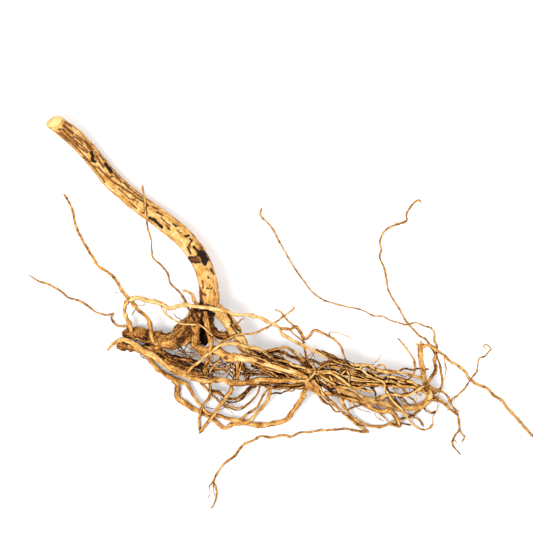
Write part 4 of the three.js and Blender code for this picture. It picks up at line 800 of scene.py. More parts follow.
rightRootsRoutes = [
    # root to the floor
    dict(tone=[0.3, 0.34, 0.34], girth=[1.8, 2, 2, 2, 1.8], route=[
        (18, -44, 18.8), (21, -49, 17), (24, -53, 14.5), (27.5, -57.6, 11), (32.3, -61.5, 8.5),
        (37.7, -66.4, 6), (42.6, -70.9, 4), (48.4, -75.8, 2.2), (53.3, -78.8, 1.2), (56.2, -81, 0.9)]),
    # long floor runner
    dict(tone=0.4, girth=[1.8, 1.5, 1.4, 1.4, 1.4, 1.5, 1.5, 1.4, 1.3, 1], route=[
        (56.6, -81, 0.9), (52, -80.7, 1), (45.7, -79.8, 1.4), (39.9, -78.8, 1.8), (32.3, -79.6, 2.2),
        (23.4, -80, 2.4), (16.7, -81.1, 2.4), (9.7, -81.4, 2.2), (3.6, -84.3, 2), (-0.9, -83.2, 1.8),
        (-9.8, -84.6, 1.6), (-16.6, -83.9, 1.3), (-21, -86.3, 1.1), (-28, -89.4, 1),
        (-31.2, -93.4, 0.9), (-34.2, -97.3, 0.9), (-40.6, -102, 0.9), (-45.6, -108.6, 0.8),
        (-48, -114.8, 0.7), (-46.3, -119.5, 0.7), (-46.4, -125, 0.7), (-49, -131.5, 0.6),
        (-50.4, -132.6, 0.6)]),
    # fork of its tail
    dict(tone=0.44, ends={"tail": "point"}, girth=[1.3, 1], route=[
        (-47.4, -112.6, 0.8), (-50.5, -117, 0.7), (-52.6, -118.6, 0.6)]),
    # low curving root
    dict(tone=0.36, girth=[2.4, 2.2, 2, 2, 1.8, 1.6], route=[
        (32.5, -44.5, 18.4), (34.6, -50.6, 15.4), (37.7, -58.4, 10.5), (41.3, -66.4, 7),
        (45.3, -70.9, 5), (51.5, -74.9, 3.2), (58.7, -77.1, 2), (64.9, -77.4, 1.4), (71.2, -74.9, 1.4),
        (78.8, -72.2, 1.8), (85.2, -70.4, 1.8), (91.5, -66, 1.8)]),
    # pale strand on top
    dict(tone=0.1, girth=[1.8, 1.8, 1.8, 1.8], route=[
        (20, -41.4, 21), (27.9, -40.8, 22), (31.8, -41.2, 22.2), (37.7, -45, 21.6), (43, -49, 20),
        (48.4, -54.4, 15.6), (53.5, -58.8, 10.4)]),
    # middle strand
    dict(tone=0.26, girth=[2.2, 2, 2, 1.8, 1.8, 1.8], route=[
        (18, -38.6, 20.4), (25.6, -38.8, 20.4), (35, -40.2, 20), (43.9, -43.2, 19), (52.9, -45.4, 18),
        (61.8, -46, 17.2), (72.5, -46.4, 16.2), (82.5, -46.8, 15), (87.9, -49, 13.6),
        (93.5, -50.4, 10.2)]),
    # upper strand
    dict(tone=0.22, girth=[1.8, 1.8, 1.8, 1.8, 1.8], route=[
        (39, -34.2, 22.6), (47.5, -35.8, 22), (56, -35.8, 21), (61.8, -38.8, 20), (72, -39.6, 19),
        (80, -41, 18), (87.9, -43.4, 16), (94, -44.8, 13.4)]),
    # its link to the waist
    dict(tone=0.28, girth=[1.6, 1.6, 1.4], route=[
        (20, -39, 20), (26.5, -36.2, 20.6), (32.3, -35.4, 21), (38, -38.4, 21), (47, -42.2, 20),
        (56, -44.8, 18.6), (66, -44.2, 18), (75, -44.2, 17), (83, -46.2, 15.4)]),
    # dark knobbly strand
    dict(tone=0.52, knobs=1.4, girth=[2, 1.8, 1.8, 1.9, 2, 2, 1.6], route=[
        (60, -59.8, 8.8), (65, -57, 10.8), (74.7, -55.8, 12), (82.9, -55.2, 13), (89.6, -52.1, 14),
        (95, -48.6, 15.4), (98.6, -43.7, 16.8), (101.5, -39.2, 18), (100.6, -33, 19),
        (101.2, -29.6, 19.6), (102.7, -24.9, 19.4)]),
    # forked strand, tied twig
    dict(tone=0.36, girth=[2, 2, 1.8, 1.6, 1.4, 1.2], route=[
        (-4.4, -10.8, 23.2), (3.5, -11.4, 21.6), (7.9, -9.8, 20.4), (10.6, -14.1, 19.2),
        (13.8, -18, 18.2), (16.9, -15.4, 18), (19.6, -12.2, 18.2), (25.4, -14.3, 18.8),
        (31.6, -17.5, 19.4), (37, -22.1, 20.2), (39.6, -28.8, 21), (42, -35.2, 21.6)]),
    # crossed twig, falling
    dict(tone=0.39, girth=[1.2, 1.3, 1.4, 1.6], route=[
        (-7, 1.8, 20.6), (-3, 0.2, 20.4), (0.4, -4, 19.9), (3.3, -7, 19.4), (8.4, -11.6, 19),
        (11.6, -17, 18.4), (12.6, -22.6, 18.4), (14, -28.8, 18.8), (15.3, -34.6, 19.2), (17, -39, 19.6)]),
    # thin loop above it
    dict(tone=0.36, girth=[1, 1.25, 1.3, 1.4], route=[
        (75.8, -17.5, 21), (80, -22.4, 20.4), (83.6, -27.1, 19.8), (86.7, -32.1, 19.2),
        (87.4, -38, 18.4), (85.4, -43, 17), (81, -46.6, 15.6)]),
    dict(tone=0.44, girth=[1, 0.9], route=[
        (3.5, -12.3, 20), (5.7, -14.6, 19.6), (7.9, -16.3, 19.2), (10.2, -18.1, 18.8),
        (12, -19.7, 18.6), (13.8, -20.8, 18.6)]),
    dict(tone=0.19, ends={"tail": "point"}, girth=[0.7, 0.6, 0.4], route=[
        (29.4, -14.6, 19), (30.7, -13.2, 19.4), (33.4, -13.7, 19.6), (36.5, -14.1, 19.8),
        (39.6, -15.2, 20), (42.8, -16.6, 20), (45.4, -18.1, 20), (48.6, -20.8, 19.8)]),
    dict(tone=0.29, girth=[0.8, 0.7], route=[
        (15.5, -29.7, 19.6), (17.3, -28.4, 20), (18, -27.1, 20.2), (19.1, -28.8, 20),
        (20.2, -31.1, 19.8)]),
    dict(tone=0.39, girth=[1, 0.9], route=[
        (13.5, -26.5, 19), (14.5, -30, 19.4), (15.3, -33, 19.8), (17, -34.8, 20), (18.8, -37, 20),
        (19.8, -39, 20)]),
    dict(tone=0.64, girth=[1.2, 1.2], route=[
        (13, -34.5, 20.6), (17, -32.5, 21), (20, -33.2, 21), (22, -34.3, 20.8), (24, -35.5, 20.6)]),
    dict(tone=0.34, girth=[1.6, 1.5], route=[
        (22, -38.5, 20.6), (24.5, -36.8, 21), (26.5, -35.3, 21.2), (29, -34.4, 21.4), (33, -34.5, 21.8),
        (37, -35, 22), (39, -34, 22)]),
    dict(tone=0.34, ends={"tail": "point"}, girth=[0.6, 0.5], route=[
        (58.9, -35.8, 21), (60, -33.8, 21.4), (61.8, -32.9, 21.4), (63.1, -31.6, 21.2),
        (63.8, -29.8, 21), (65.8, -27.4, 20.6)]),
    dict(tone=0.34, girth=[1.2, 1], route=[
        (60.4, -37.4, 20.6), (62.7, -36.1, 21.2), (65.4, -35.4, 21.2), (66.9, -36.7, 20.8),
        (67.8, -38.8, 20), (68.5, -41, 19)]),
    dict(tone=0.32, girth=[1.5, 1.4], route=[
        (27, -37, 21), (30, -36.5, 21.4), (34, -36.8, 21.6), (38, -37.3, 21.8), (42, -38, 21.4),
        (45.7, -39.6, 20.8), (50.2, -41, 20), (54.6, -42.3, 19.2)]),
    dict(tone=0.4, girth=[1.8, 1.8], route=[
        (35, -47.5, 19), (38, -48.5, 18.6), (42, -49.5, 18), (45.7, -49.7, 17.4), (50.2, -50.8, 16.8),
        (53.8, -52.1, 16.2), (56.4, -53.3, 15.6), (58.7, -53.3, 15)]),
    dict(tone=0.3, girth=[1.8, 1.6], route=[
        (59.1, -45, 18), (63.6, -45.4, 17.8), (69.4, -43.7, 17.6), (74.7, -43.7, 17.2), (80, -45, 16.6)]),
    dict(tone=0.44, girth=[1.4, 1.4], route=[
        (68, -46.3, 17), (77, -46.8, 16.4)]),
    dict(tone=0.69, girth=[1.2, 1.1], route=[
        (57.3, -50.8, 16), (59.6, -52.1, 15), (60.9, -54.4, 13.4), (61.1, -56.6, 11.4)]),
    dict(tone=0.69, girth=[1.2, 1], route=[
        (69.4, -53.3, 13.6), (72.5, -54.4, 13)]),
    dict(tone=0.44, girth=[1.2, 1], route=[
        (74.3, -50.4, 15), (76.1, -51.9, 14.4)]),
    # small loop at the waist
    dict(tone=0.14, girth=[1, 1], route=[
        (23, -43, 21), (24.5, -45.5, 21), (26.5, -47.5, 20.6), (29, -48.7, 20), (31, -48, 20),
        (33, -46.5, 20.4), (35, -45, 21)]),
    dict(tone=0.19, girth=[0.9, 0.9], route=[
        (24, -44, 21), (27, -46, 21.2), (29, -46.5, 21.2), (31, -45, 21.4), (30.5, -43, 21.6)]),
    dict(tone=0.24, girth=[1.4, 1.3], route=[
        (23.5, -41.5, 21.4), (27, -41, 21.8), (31, -41, 21.8), (33, -42, 21.6), (36, -44, 21),
        (39, -46.5, 20), (42, -48.5, 18.6), (45, -51, 16.6)]),
    dict(tone=0.44, girth=[1.4, 1.3], route=[
        (22.5, -56, 15), (24.7, -59.3, 12), (27, -61.3, 10.4), (29.6, -62, 9.4), (31.4, -64.2, 8),
        (33.2, -66.4, 7), (35, -67.3, 6.4), (37.2, -66.9, 6.4)]),
    dict(tone=0.44, girth=[1.2, 1.1], route=[
        (42.1, -66, 7), (44.8, -64.6, 8), (47.5, -63.3, 8.6), (50.2, -63.1, 8.6), (52.4, -62.2, 9)]),
    dict(tone=0.44, girth=[1, 0.8], route=[
        (62.7, -66.9, 3.6), (65.4, -69.6, 2.6), (67.6, -71.8, 2), (69.4, -74, 1.5)]),
    dict(tone=0.39, girth=[1.6, 1.4], route=[
        (69.8, -75.4, 1.4), (73.8, -76.5, 1.1), (77.9, -78, 1)]),
    dict(tone=0.69, girth=[1.2, 1], route=[
        (74.5, -75.4, 1.6), (78, -74.9, 1.6), (81.2, -75.8, 1.4), (85.2, -76.5, 1)]),
    dict(tone=0.64, girth=[1.2, 1.1], route=[
        (81.6, -68.2, 3), (84.7, -69.6, 3), (87.4, -71.3, 2.6), (90.1, -72.5, 2), (91.9, -74.2, 1.6),
        (93.7, -77.4, 1)]),
    dict(tone=0.44, girth=[0.6, 0.5], route=[
        (43.9, -60.2, 10), (47.1, -62.9, 8), (50.2, -65.5, 6), (54.6, -66.9, 5), (58.2, -67.8, 4)]),
    dict(tone=0.44, girth=[0.6, 0.5], route=[
        (60.4, -67.8, 4), (61.3, -70.4, 3), (63.6, -72.2, 2.2), (66.7, -73.6, 1.6)]),
    dict(tone=0.34, girth=[1.4, 1.3], route=[
        (70, -41.9, 18), (72.7, -41, 18)]),
    dict(tone=0.66, girth=[1.2, 1.1], route=[
        (77.1, -39.4, 19), (80.3, -37.9, 19), (85.6, -38.8, 18.6), (89.2, -38.1, 18),
        (94.1, -38.3, 17.6), (96.8, -38.4, 17)]),
    dict(tone=0.34, girth=[1.8, 1.7], route=[
        (70, -44.1, 18), (78.9, -45.9, 17), (85.2, -47.2, 15.6), (89.6, -50.4, 13)]),
    dict(tone=0.36, girth=[1.8, 1.7], route=[
        (70, -46.8, 16.6), (74.5, -48.6, 16), (83.4, -49.7, 14.6), (91.4, -50.8, 11.6)]),
    dict(tone=0.69, girth=[1.4, 1.2], route=[
        (78.9, -49.9, 14.6), (80, -52.1, 13.6), (80.7, -53.9, 12.8), (82.9, -54.4, 12.6)]),
    # stubs on the riser
    dict(tone=0.16, girth=[2, 1.4], route=[
        (91, -24, 21.6), (89.2, -22, 22), (87.6, -20.6, 22)]),
    dict(tone=0.12, girth=[1.8, 1.2], route=[
        (90.8, -22, 22), (91.4, -20.4, 22.2), (91.6, -19, 22.2)]),
    dict(tone=0.44, girth=[1.6, 1.2], route=[
        (91.6, -23.6, 21.6), (92.6, -22, 22), (93.4, -20.8, 22)]),
    # strands woven through the waist
    dict(tone=0.24, girth=[1.6, 1.7, 1.6], route=[
        (18.2, -45.4, 20.5), (20.9, -48.6, 20), (23.1, -50.8, 19.5), (24.7, -53.5, 18.8),
        (26.3, -56.2, 18)]),
    dict(tone=0.14, girth=[1.4, 1.3, 1.1], route=[
        (10.1, -45.9, 22.5), (14.4, -45.9, 23), (16.6, -44.3, 23.4), (19, -41.9, 23.4),
        (20.1, -40.2, 23.4), (20.9, -38.9, 22.6)]),
    dict(tone=0.12, girth=[1.1, 1.1, 0.9], route=[
        (16.1, -32.9, 22.4), (18.2, -35.4, 23.4), (19.6, -37.5, 23.8), (20.4, -39.2, 23.6),
        (20.1, -41, 22.6)]),
    dict(tone=0.28, girth=[1.4, 1.5, 1.3], route=[
        (22, -38.9, 22.4), (25.2, -36.5, 22), (28.5, -34.6, 21.6), (30.6, -34.2, 21.5),
        (34.4, -34.6, 21.5), (37.1, -34.7, 21.4), (39.8, -34.1, 21.2), (42, -34.7, 21)]),
    dict(tone=0.24, girth=[1.5, 1.4, 1.4], route=[
        (27.4, -35.6, 21.4), (31.2, -37, 21.4), (34.4, -37.5, 21.3), (37.1, -37.8, 21.1),
        (40.6, -38.9, 21), (45.2, -40.5, 20.7), (49.3, -41.6, 20.4), (53.9, -43.2, 20)]),
    dict(tone=0.22, girth=[1.7, 1.6, 1.6], route=[
        (20.9, -40, 22.4), (26.3, -39.7, 22.2), (30.6, -40, 21.9), (34.4, -40.8, 21.6),
        (37.1, -42.4, 21.3), (41.2, -43.2, 21), (45.2, -43.7, 20.7), (50.6, -45.1, 20.4),
        (58.7, -45.6, 20)]),
    dict(tone=0.3, girth=[1.4, 1.4], route=[
        (41.2, -41.2, 20.6), (45.2, -42.1, 20.6), (49.3, -42.4, 20.5), (53.3, -43.2, 20.4),
        (58.7, -44.3, 20)]),
    dict(tone=0.24, girth=[1.5, 1.4, 1.4], route=[
        (34.4, -47, 19.6), (38.7, -48.3, 19.4), (42.5, -49.7, 19.2), (47.9, -50.8, 19),
        (50.6, -51.8, 18.8), (54.7, -53.2, 18.6), (58.7, -53.3, 18.4)]),
    dict(tone=0.28, girth=[1.7, 1.6, 1.5], route=[
        (31.7, -50, 20), (36, -50, 20), (39.8, -50.5, 19.7), (45.2, -51, 19.4), (49.3, -51, 19.2),
        (53.3, -50, 19)]),
    dict(tone=0.4, girth=[1.6, 1.7, 1.6], route=[
        (43.6, -47.8, 18.6), (46.6, -48.6, 18.8), (49.3, -49.1, 18.7), (53.3, -49.1, 18.6),
        (58.7, -49.4, 18.4)]),
    dict(tone=0.14, girth=[1.2, 1.2], route=[
        (42.5, -44.8, 20.4), (44.7, -45.6, 20.4), (47.9, -45.9, 20.3), (51.7, -46.2, 20.2),
        (56, -46.4, 20.1), (60.1, -46.4, 20)]),
    dict(tone=0.2, girth=[1.7, 1.6, 1.4], route=[
        (23.4, -41.9, 21.6), (26.3, -44.3, 21.6), (29, -45.9, 21.1), (31.2, -47.5, 20.6),
        (33.3, -49.4, 19.8)]),
    dict(tone=0.08, girth=[1.1, 1], route=[
        (40.9, -38.9, 22), (38.7, -41, 22.4), (37.1, -42.9, 22)]),
    dict(tone=0.26, girth=[1.1, 1.1, 1], route=[
        (41.7, -34.8, 21.6), (41.4, -37.8, 21.8), (42.1, -40.5, 21.6), (43.3, -43.2, 21),
        (42.8, -45.6, 20.4), (43.7, -48.3, 19.4)]),
    dict(tone=0.14, girth=[1.4, 1.3, 1.3], route=[
        (42, -34.8, 21.6), (45, -36.3, 21.8), (47.4, -37.8, 21.8), (50.1, -38.1, 21.8),
        (51.4, -36.2, 21.8), (53.9, -35.5, 21.6), (58.7, -35.9, 21.4)]),
    dict(tone=0.36, girth=[1.3, 1.2, 1.2], route=[
        (42.5, -34.8, 21), (46.6, -35.6, 21.2), (50.6, -35.1, 21.1), (54.7, -35.9, 21),
        (56.6, -38.3, 20.6), (58.7, -39.7, 20)]),
    dict(tone=0.18, girth=[1.2, 1.1], route=[
        (49.8, -38.2, 21.6), (52, -39.3, 21.8), (53.9, -41, 21.6), (55.8, -42.3, 21.4),
        (58.7, -43.2, 21)]),
    dict(tone=0.4, girth=[2.2, 2.4, 2.2], route=[
        (29, -54, 16.6), (33.1, -54.9, 16.6), (35.8, -56.2, 16.4), (39.8, -57.5, 16.2),
        (45.2, -58.6, 15.9), (50.6, -60.2, 15.6)]),
    dict(tone=0.28, girth=[2, 2.2, 1.8], route=[
        (26.3, -53.5, 18), (29, -54.8, 18), (31.7, -55.6, 17.7), (34.4, -56.2, 17.4)]),
    dict(tone=0.69, girth=[1.6, 1.8, 1.5], route=[
        (25.2, -49.1, 16.6), (27.7, -51.3, 16.8), (30.4, -52.4, 16.9), (33.1, -54, 17),
        (35.8, -55.4, 16.6)]),
    dict(tone=0.66, girth=[2.2, 2.4, 2], route=[
        (20.9, -45.9, 16.4), (24.2, -48.3, 16.6), (27.4, -50.2, 16.8), (30.6, -51.3, 17),
        (33.9, -50.8, 17.4)]),
    dict(tone=0.49, girth=[2, 2, 1.8], route=[
        (10.1, -31.1, 19.4), (12.8, -31.5, 19.6), (15.5, -32.1, 19.7), (19, -32.7, 19.8),
        (22.5, -34.3, 19.9), (25.2, -35.6, 20)]),
    dict(tone=0.54, girth=[2.6, 3, 2.4], route=[
        (12.6, -33.8, 18), (14.4, -35.1, 18.4), (16.3, -36.2, 18.7), (19, -37.5, 19),
        (21.5, -38.9, 19.4)]),
    dict(tone=0.79, girth=[2.4, 2.6, 2.2], route=[
        (10.1, -43.2, 16), (13.4, -43.5, 16), (16.9, -43.7, 16.2), (20.4, -44.3, 16.4),
        (22.5, -46.4, 16.6)]),
    dict(tone=0.44, girth=[2, 2.1, 1.8], route=[
        (19, -41, 19.6), (20.9, -43.7, 19.6), (22, -45.9, 19.3), (22.8, -48.3, 19)]),
    dict(tone=0.28, girth=[1.8, 1.9, 1.7], route=[
        (22.8, -40, 21), (25.2, -42.9, 20.6), (27.7, -45.6, 20), (30.1, -48.6, 19.2),
        (31.7, -51.3, 18.4)]),
    dict(tone=0.24, girth=[1.5, 1.5, 1.4], route=[
        (29, -42.1, 21), (30.6, -43.7, 21.2), (31.7, -45.9, 20.6), (33.1, -48.6, 20),
        (34.2, -51.3, 19.4)]),
    dict(tone=0.34, girth=[1.3, 1.2], route=[
        (35.5, -39.7, 20.6), (38.7, -40.5, 20.4), (42, -41, 20.2)]),
    dict(tone=0.44, girth=[2, 2, 1.8], route=[
        (33.3, -43.2, 18.4), (37.1, -44.3, 18.4), (40.4, -45.4, 18.4), (44.1, -47, 18.4),
        (47.4, -47.5, 18.2)]),
    dict(tone=0.34, girth=[1.6, 1.6, 1.5], route=[
        (25.2, -38.3, 20.6), (29, -38.9, 20.6), (33.1, -39.2, 20.5), (36.6, -40, 20.4),
        (40.4, -40.5, 20)]),
    dict(tone=0.2, girth=[0.9, 0.8], route=[
        (42.8, -59.7, 15), (45.8, -61.8, 14), (48.7, -63, 13.2)]),
    # strands along the outer sheaf
    dict(tone=0.24, girth=[2.4, 2.6, 2.2], route=[
        (61.4, -38.4, 20), (64.4, -39.5, 20.2), (67.8, -40.3, 20.2), (70.8, -40.7, 20),
        (74.2, -40.3, 19.8)]),
    dict(tone=0.16, girth=[1.3, 1.4, 1.3, 1.2], route=[
        (54.7, -43.3, 21), (58.1, -43.7, 21.4), (61.4, -45, 21.8), (64.8, -46.3, 22), (66.9, -48.3, 22),
        (66.9, -51.1, 22), (68.7, -53.8, 22), (70.8, -57.5, 22), (73.1, -60.5, 21.6), (75.7, -63, 21.4),
        (78.7, -65.8, 21), (80.9, -68.8, 19), (83.5, -72.5, 16), (86.9, -76.3, 12.4), (89.6, -78.2, 10)]),
    dict(tone=0.24, girth=[2.2, 2.1, 1.8], route=[
        (68.5, -43.3, 19.6), (73.4, -43.8, 19.6), (77.2, -45.1, 19.3), (80.9, -46.3, 19)]),
    dict(tone=0.28, girth=[1.8, 1.8, 1.7], route=[
        (68.5, -46.1, 19.8), (72.7, -46.8, 19.8), (75.7, -48.5, 19.4), (78.7, -49.7, 19.2),
        (83.2, -50.1, 19), (87.7, -50.6, 18.8), (92.2, -50.2, 18.6)]),
    dict(tone=0.36, girth=[2, 2, 1.8], route=[
        (54.7, -48.3, 18.6), (59.9, -48.2, 18.8), (65.9, -49, 18.7), (71.6, -49.4, 18.6),
        (76.4, -50, 18.4), (82.4, -50.8, 18.2)]),
    dict(tone=0.2, girth=[1.4, 1.4], route=[
        (54.7, -46.1, 20), (59.2, -46.6, 20.2), (65.9, -46.7, 20.1), (70.4, -46.5, 20)]),
    dict(tone=0.3, girth=[1.8, 1.7, 1.6], route=[
        (81.7, -46.3, 19.4), (85.4, -47, 19.2), (88.4, -49.1, 18.8), (90.7, -51, 18.4),
        (92.5, -52.7, 17.7), (94.4, -54.5, 17), (95.9, -55.5, 16.6)]),
    dict(tone=0.16, girth=[1.7, 1.7, 1.6], route=[
        (64.1, -58.8, 18.8), (65.7, -57, 19.6), (68.9, -55.8, 21), (74.2, -55.7, 21.2),
        (78.7, -56.1, 21.1), (82.4, -56, 21), (86.2, -54.2, 20.7), (89.9, -51.9, 20.4),
        (93.7, -49.7, 20)]),
    dict(tone=0.66, girth=[1.1, 1, 1.1], route=[
        (69.3, -53.4, 18), (71.6, -54.4, 18), (74.6, -55.5, 17.4), (77.9, -57.1, 16.4),
        (80.9, -59.4, 15.6), (82.4, -61.8, 15), (85.1, -63.3, 14.6)]),
    dict(tone=0.54, girth=[1.7, 1.6], route=[
        (79, -50.4, 17.8), (79.8, -52.3, 17), (80.9, -54.2, 16.4), (83.2, -54.9, 16)]),
    dict(tone=0.34, girth=[1.1, 1], route=[
        (73.8, -48.9, 18), (74.9, -51, 17), (76.2, -52.3, 16)]),
    dict(tone=0.64, girth=[1.2, 1.1], route=[
        (59.2, -50.8, 18), (60.5, -53.8, 17), (61.1, -57.1, 16.6)]),
    dict(tone=0.16, girth=[1.3, 1.2], route=[
        (54.7, -53, 19), (56.9, -53.5, 19), (59.7, -53.4, 18.6)]),
    dict(tone=0.32, girth=[2.4, 2.6, 2.4, 2], route=[
        (54.7, -61.3, 15), (58.4, -64.8, 14), (62.2, -66.5, 13), (66.3, -66.9, 12.6),
        (70.8, -66.5, 12.4), (73.4, -68.4, 11), (75.7, -71.4, 9), (77.2, -76.3, 6)]),
    dict(tone=0.44, girth=[1.2, 1.1, 1], route=[
        (74.9, -66.2, 13), (78.7, -67.3, 12), (82.8, -68.8, 10.6), (86.2, -70.7, 9), (89.6, -72.2, 7.6),
        (91.4, -74.2, 6), (92.4, -76.7, 4.6)]),
    dict(tone=0.29, girth=[0.7, 0.6], route=[
        (82.4, -57, 17), (84.7, -58.3, 16.6), (86.6, -59.8, 16), (88.6, -62.6, 15)]),
    dict(tone=0.26, girth=[0.8, 0.8], route=[
        (89.2, -53.2, 17), (91.4, -55.1, 16), (93.1, -56.5, 15)]),
    dict(tone=0.24, girth=[0.5, 0.4], route=[
        (87.9, -56, 16), (88.4, -58.3, 15.6), (89.9, -62, 15)]),
    dict(tone=0.49, girth=[1.5, 1.4], route=[
        (54.7, -40.3, 19), (58.1, -41.8, 19.2), (61.1, -41.8, 19.3), (64.4, -41, 19.4), (67, -41, 19.4)]),
    dict(tone=0.3, girth=[1.6, 1.5, 1.5], route=[
        (54.7, -37.3, 20.4), (56.9, -38.8, 20.6), (59.6, -41, 20.6), (62.9, -43.3, 20.2),
        (67, -44.8, 19.8)]),
    dict(tone=0.24, girth=[1.4, 1.4], route=[
        (75.7, -46.3, 19.2), (78.7, -47.4, 19.2), (81.7, -48.2, 18.8)]),
    dict(tone=0.24, girth=[0.9, 0.8], route=[
        (94.4, -65.4, 14), (97, -67.5, 12), (98.9, -68.2, 11)]),
]

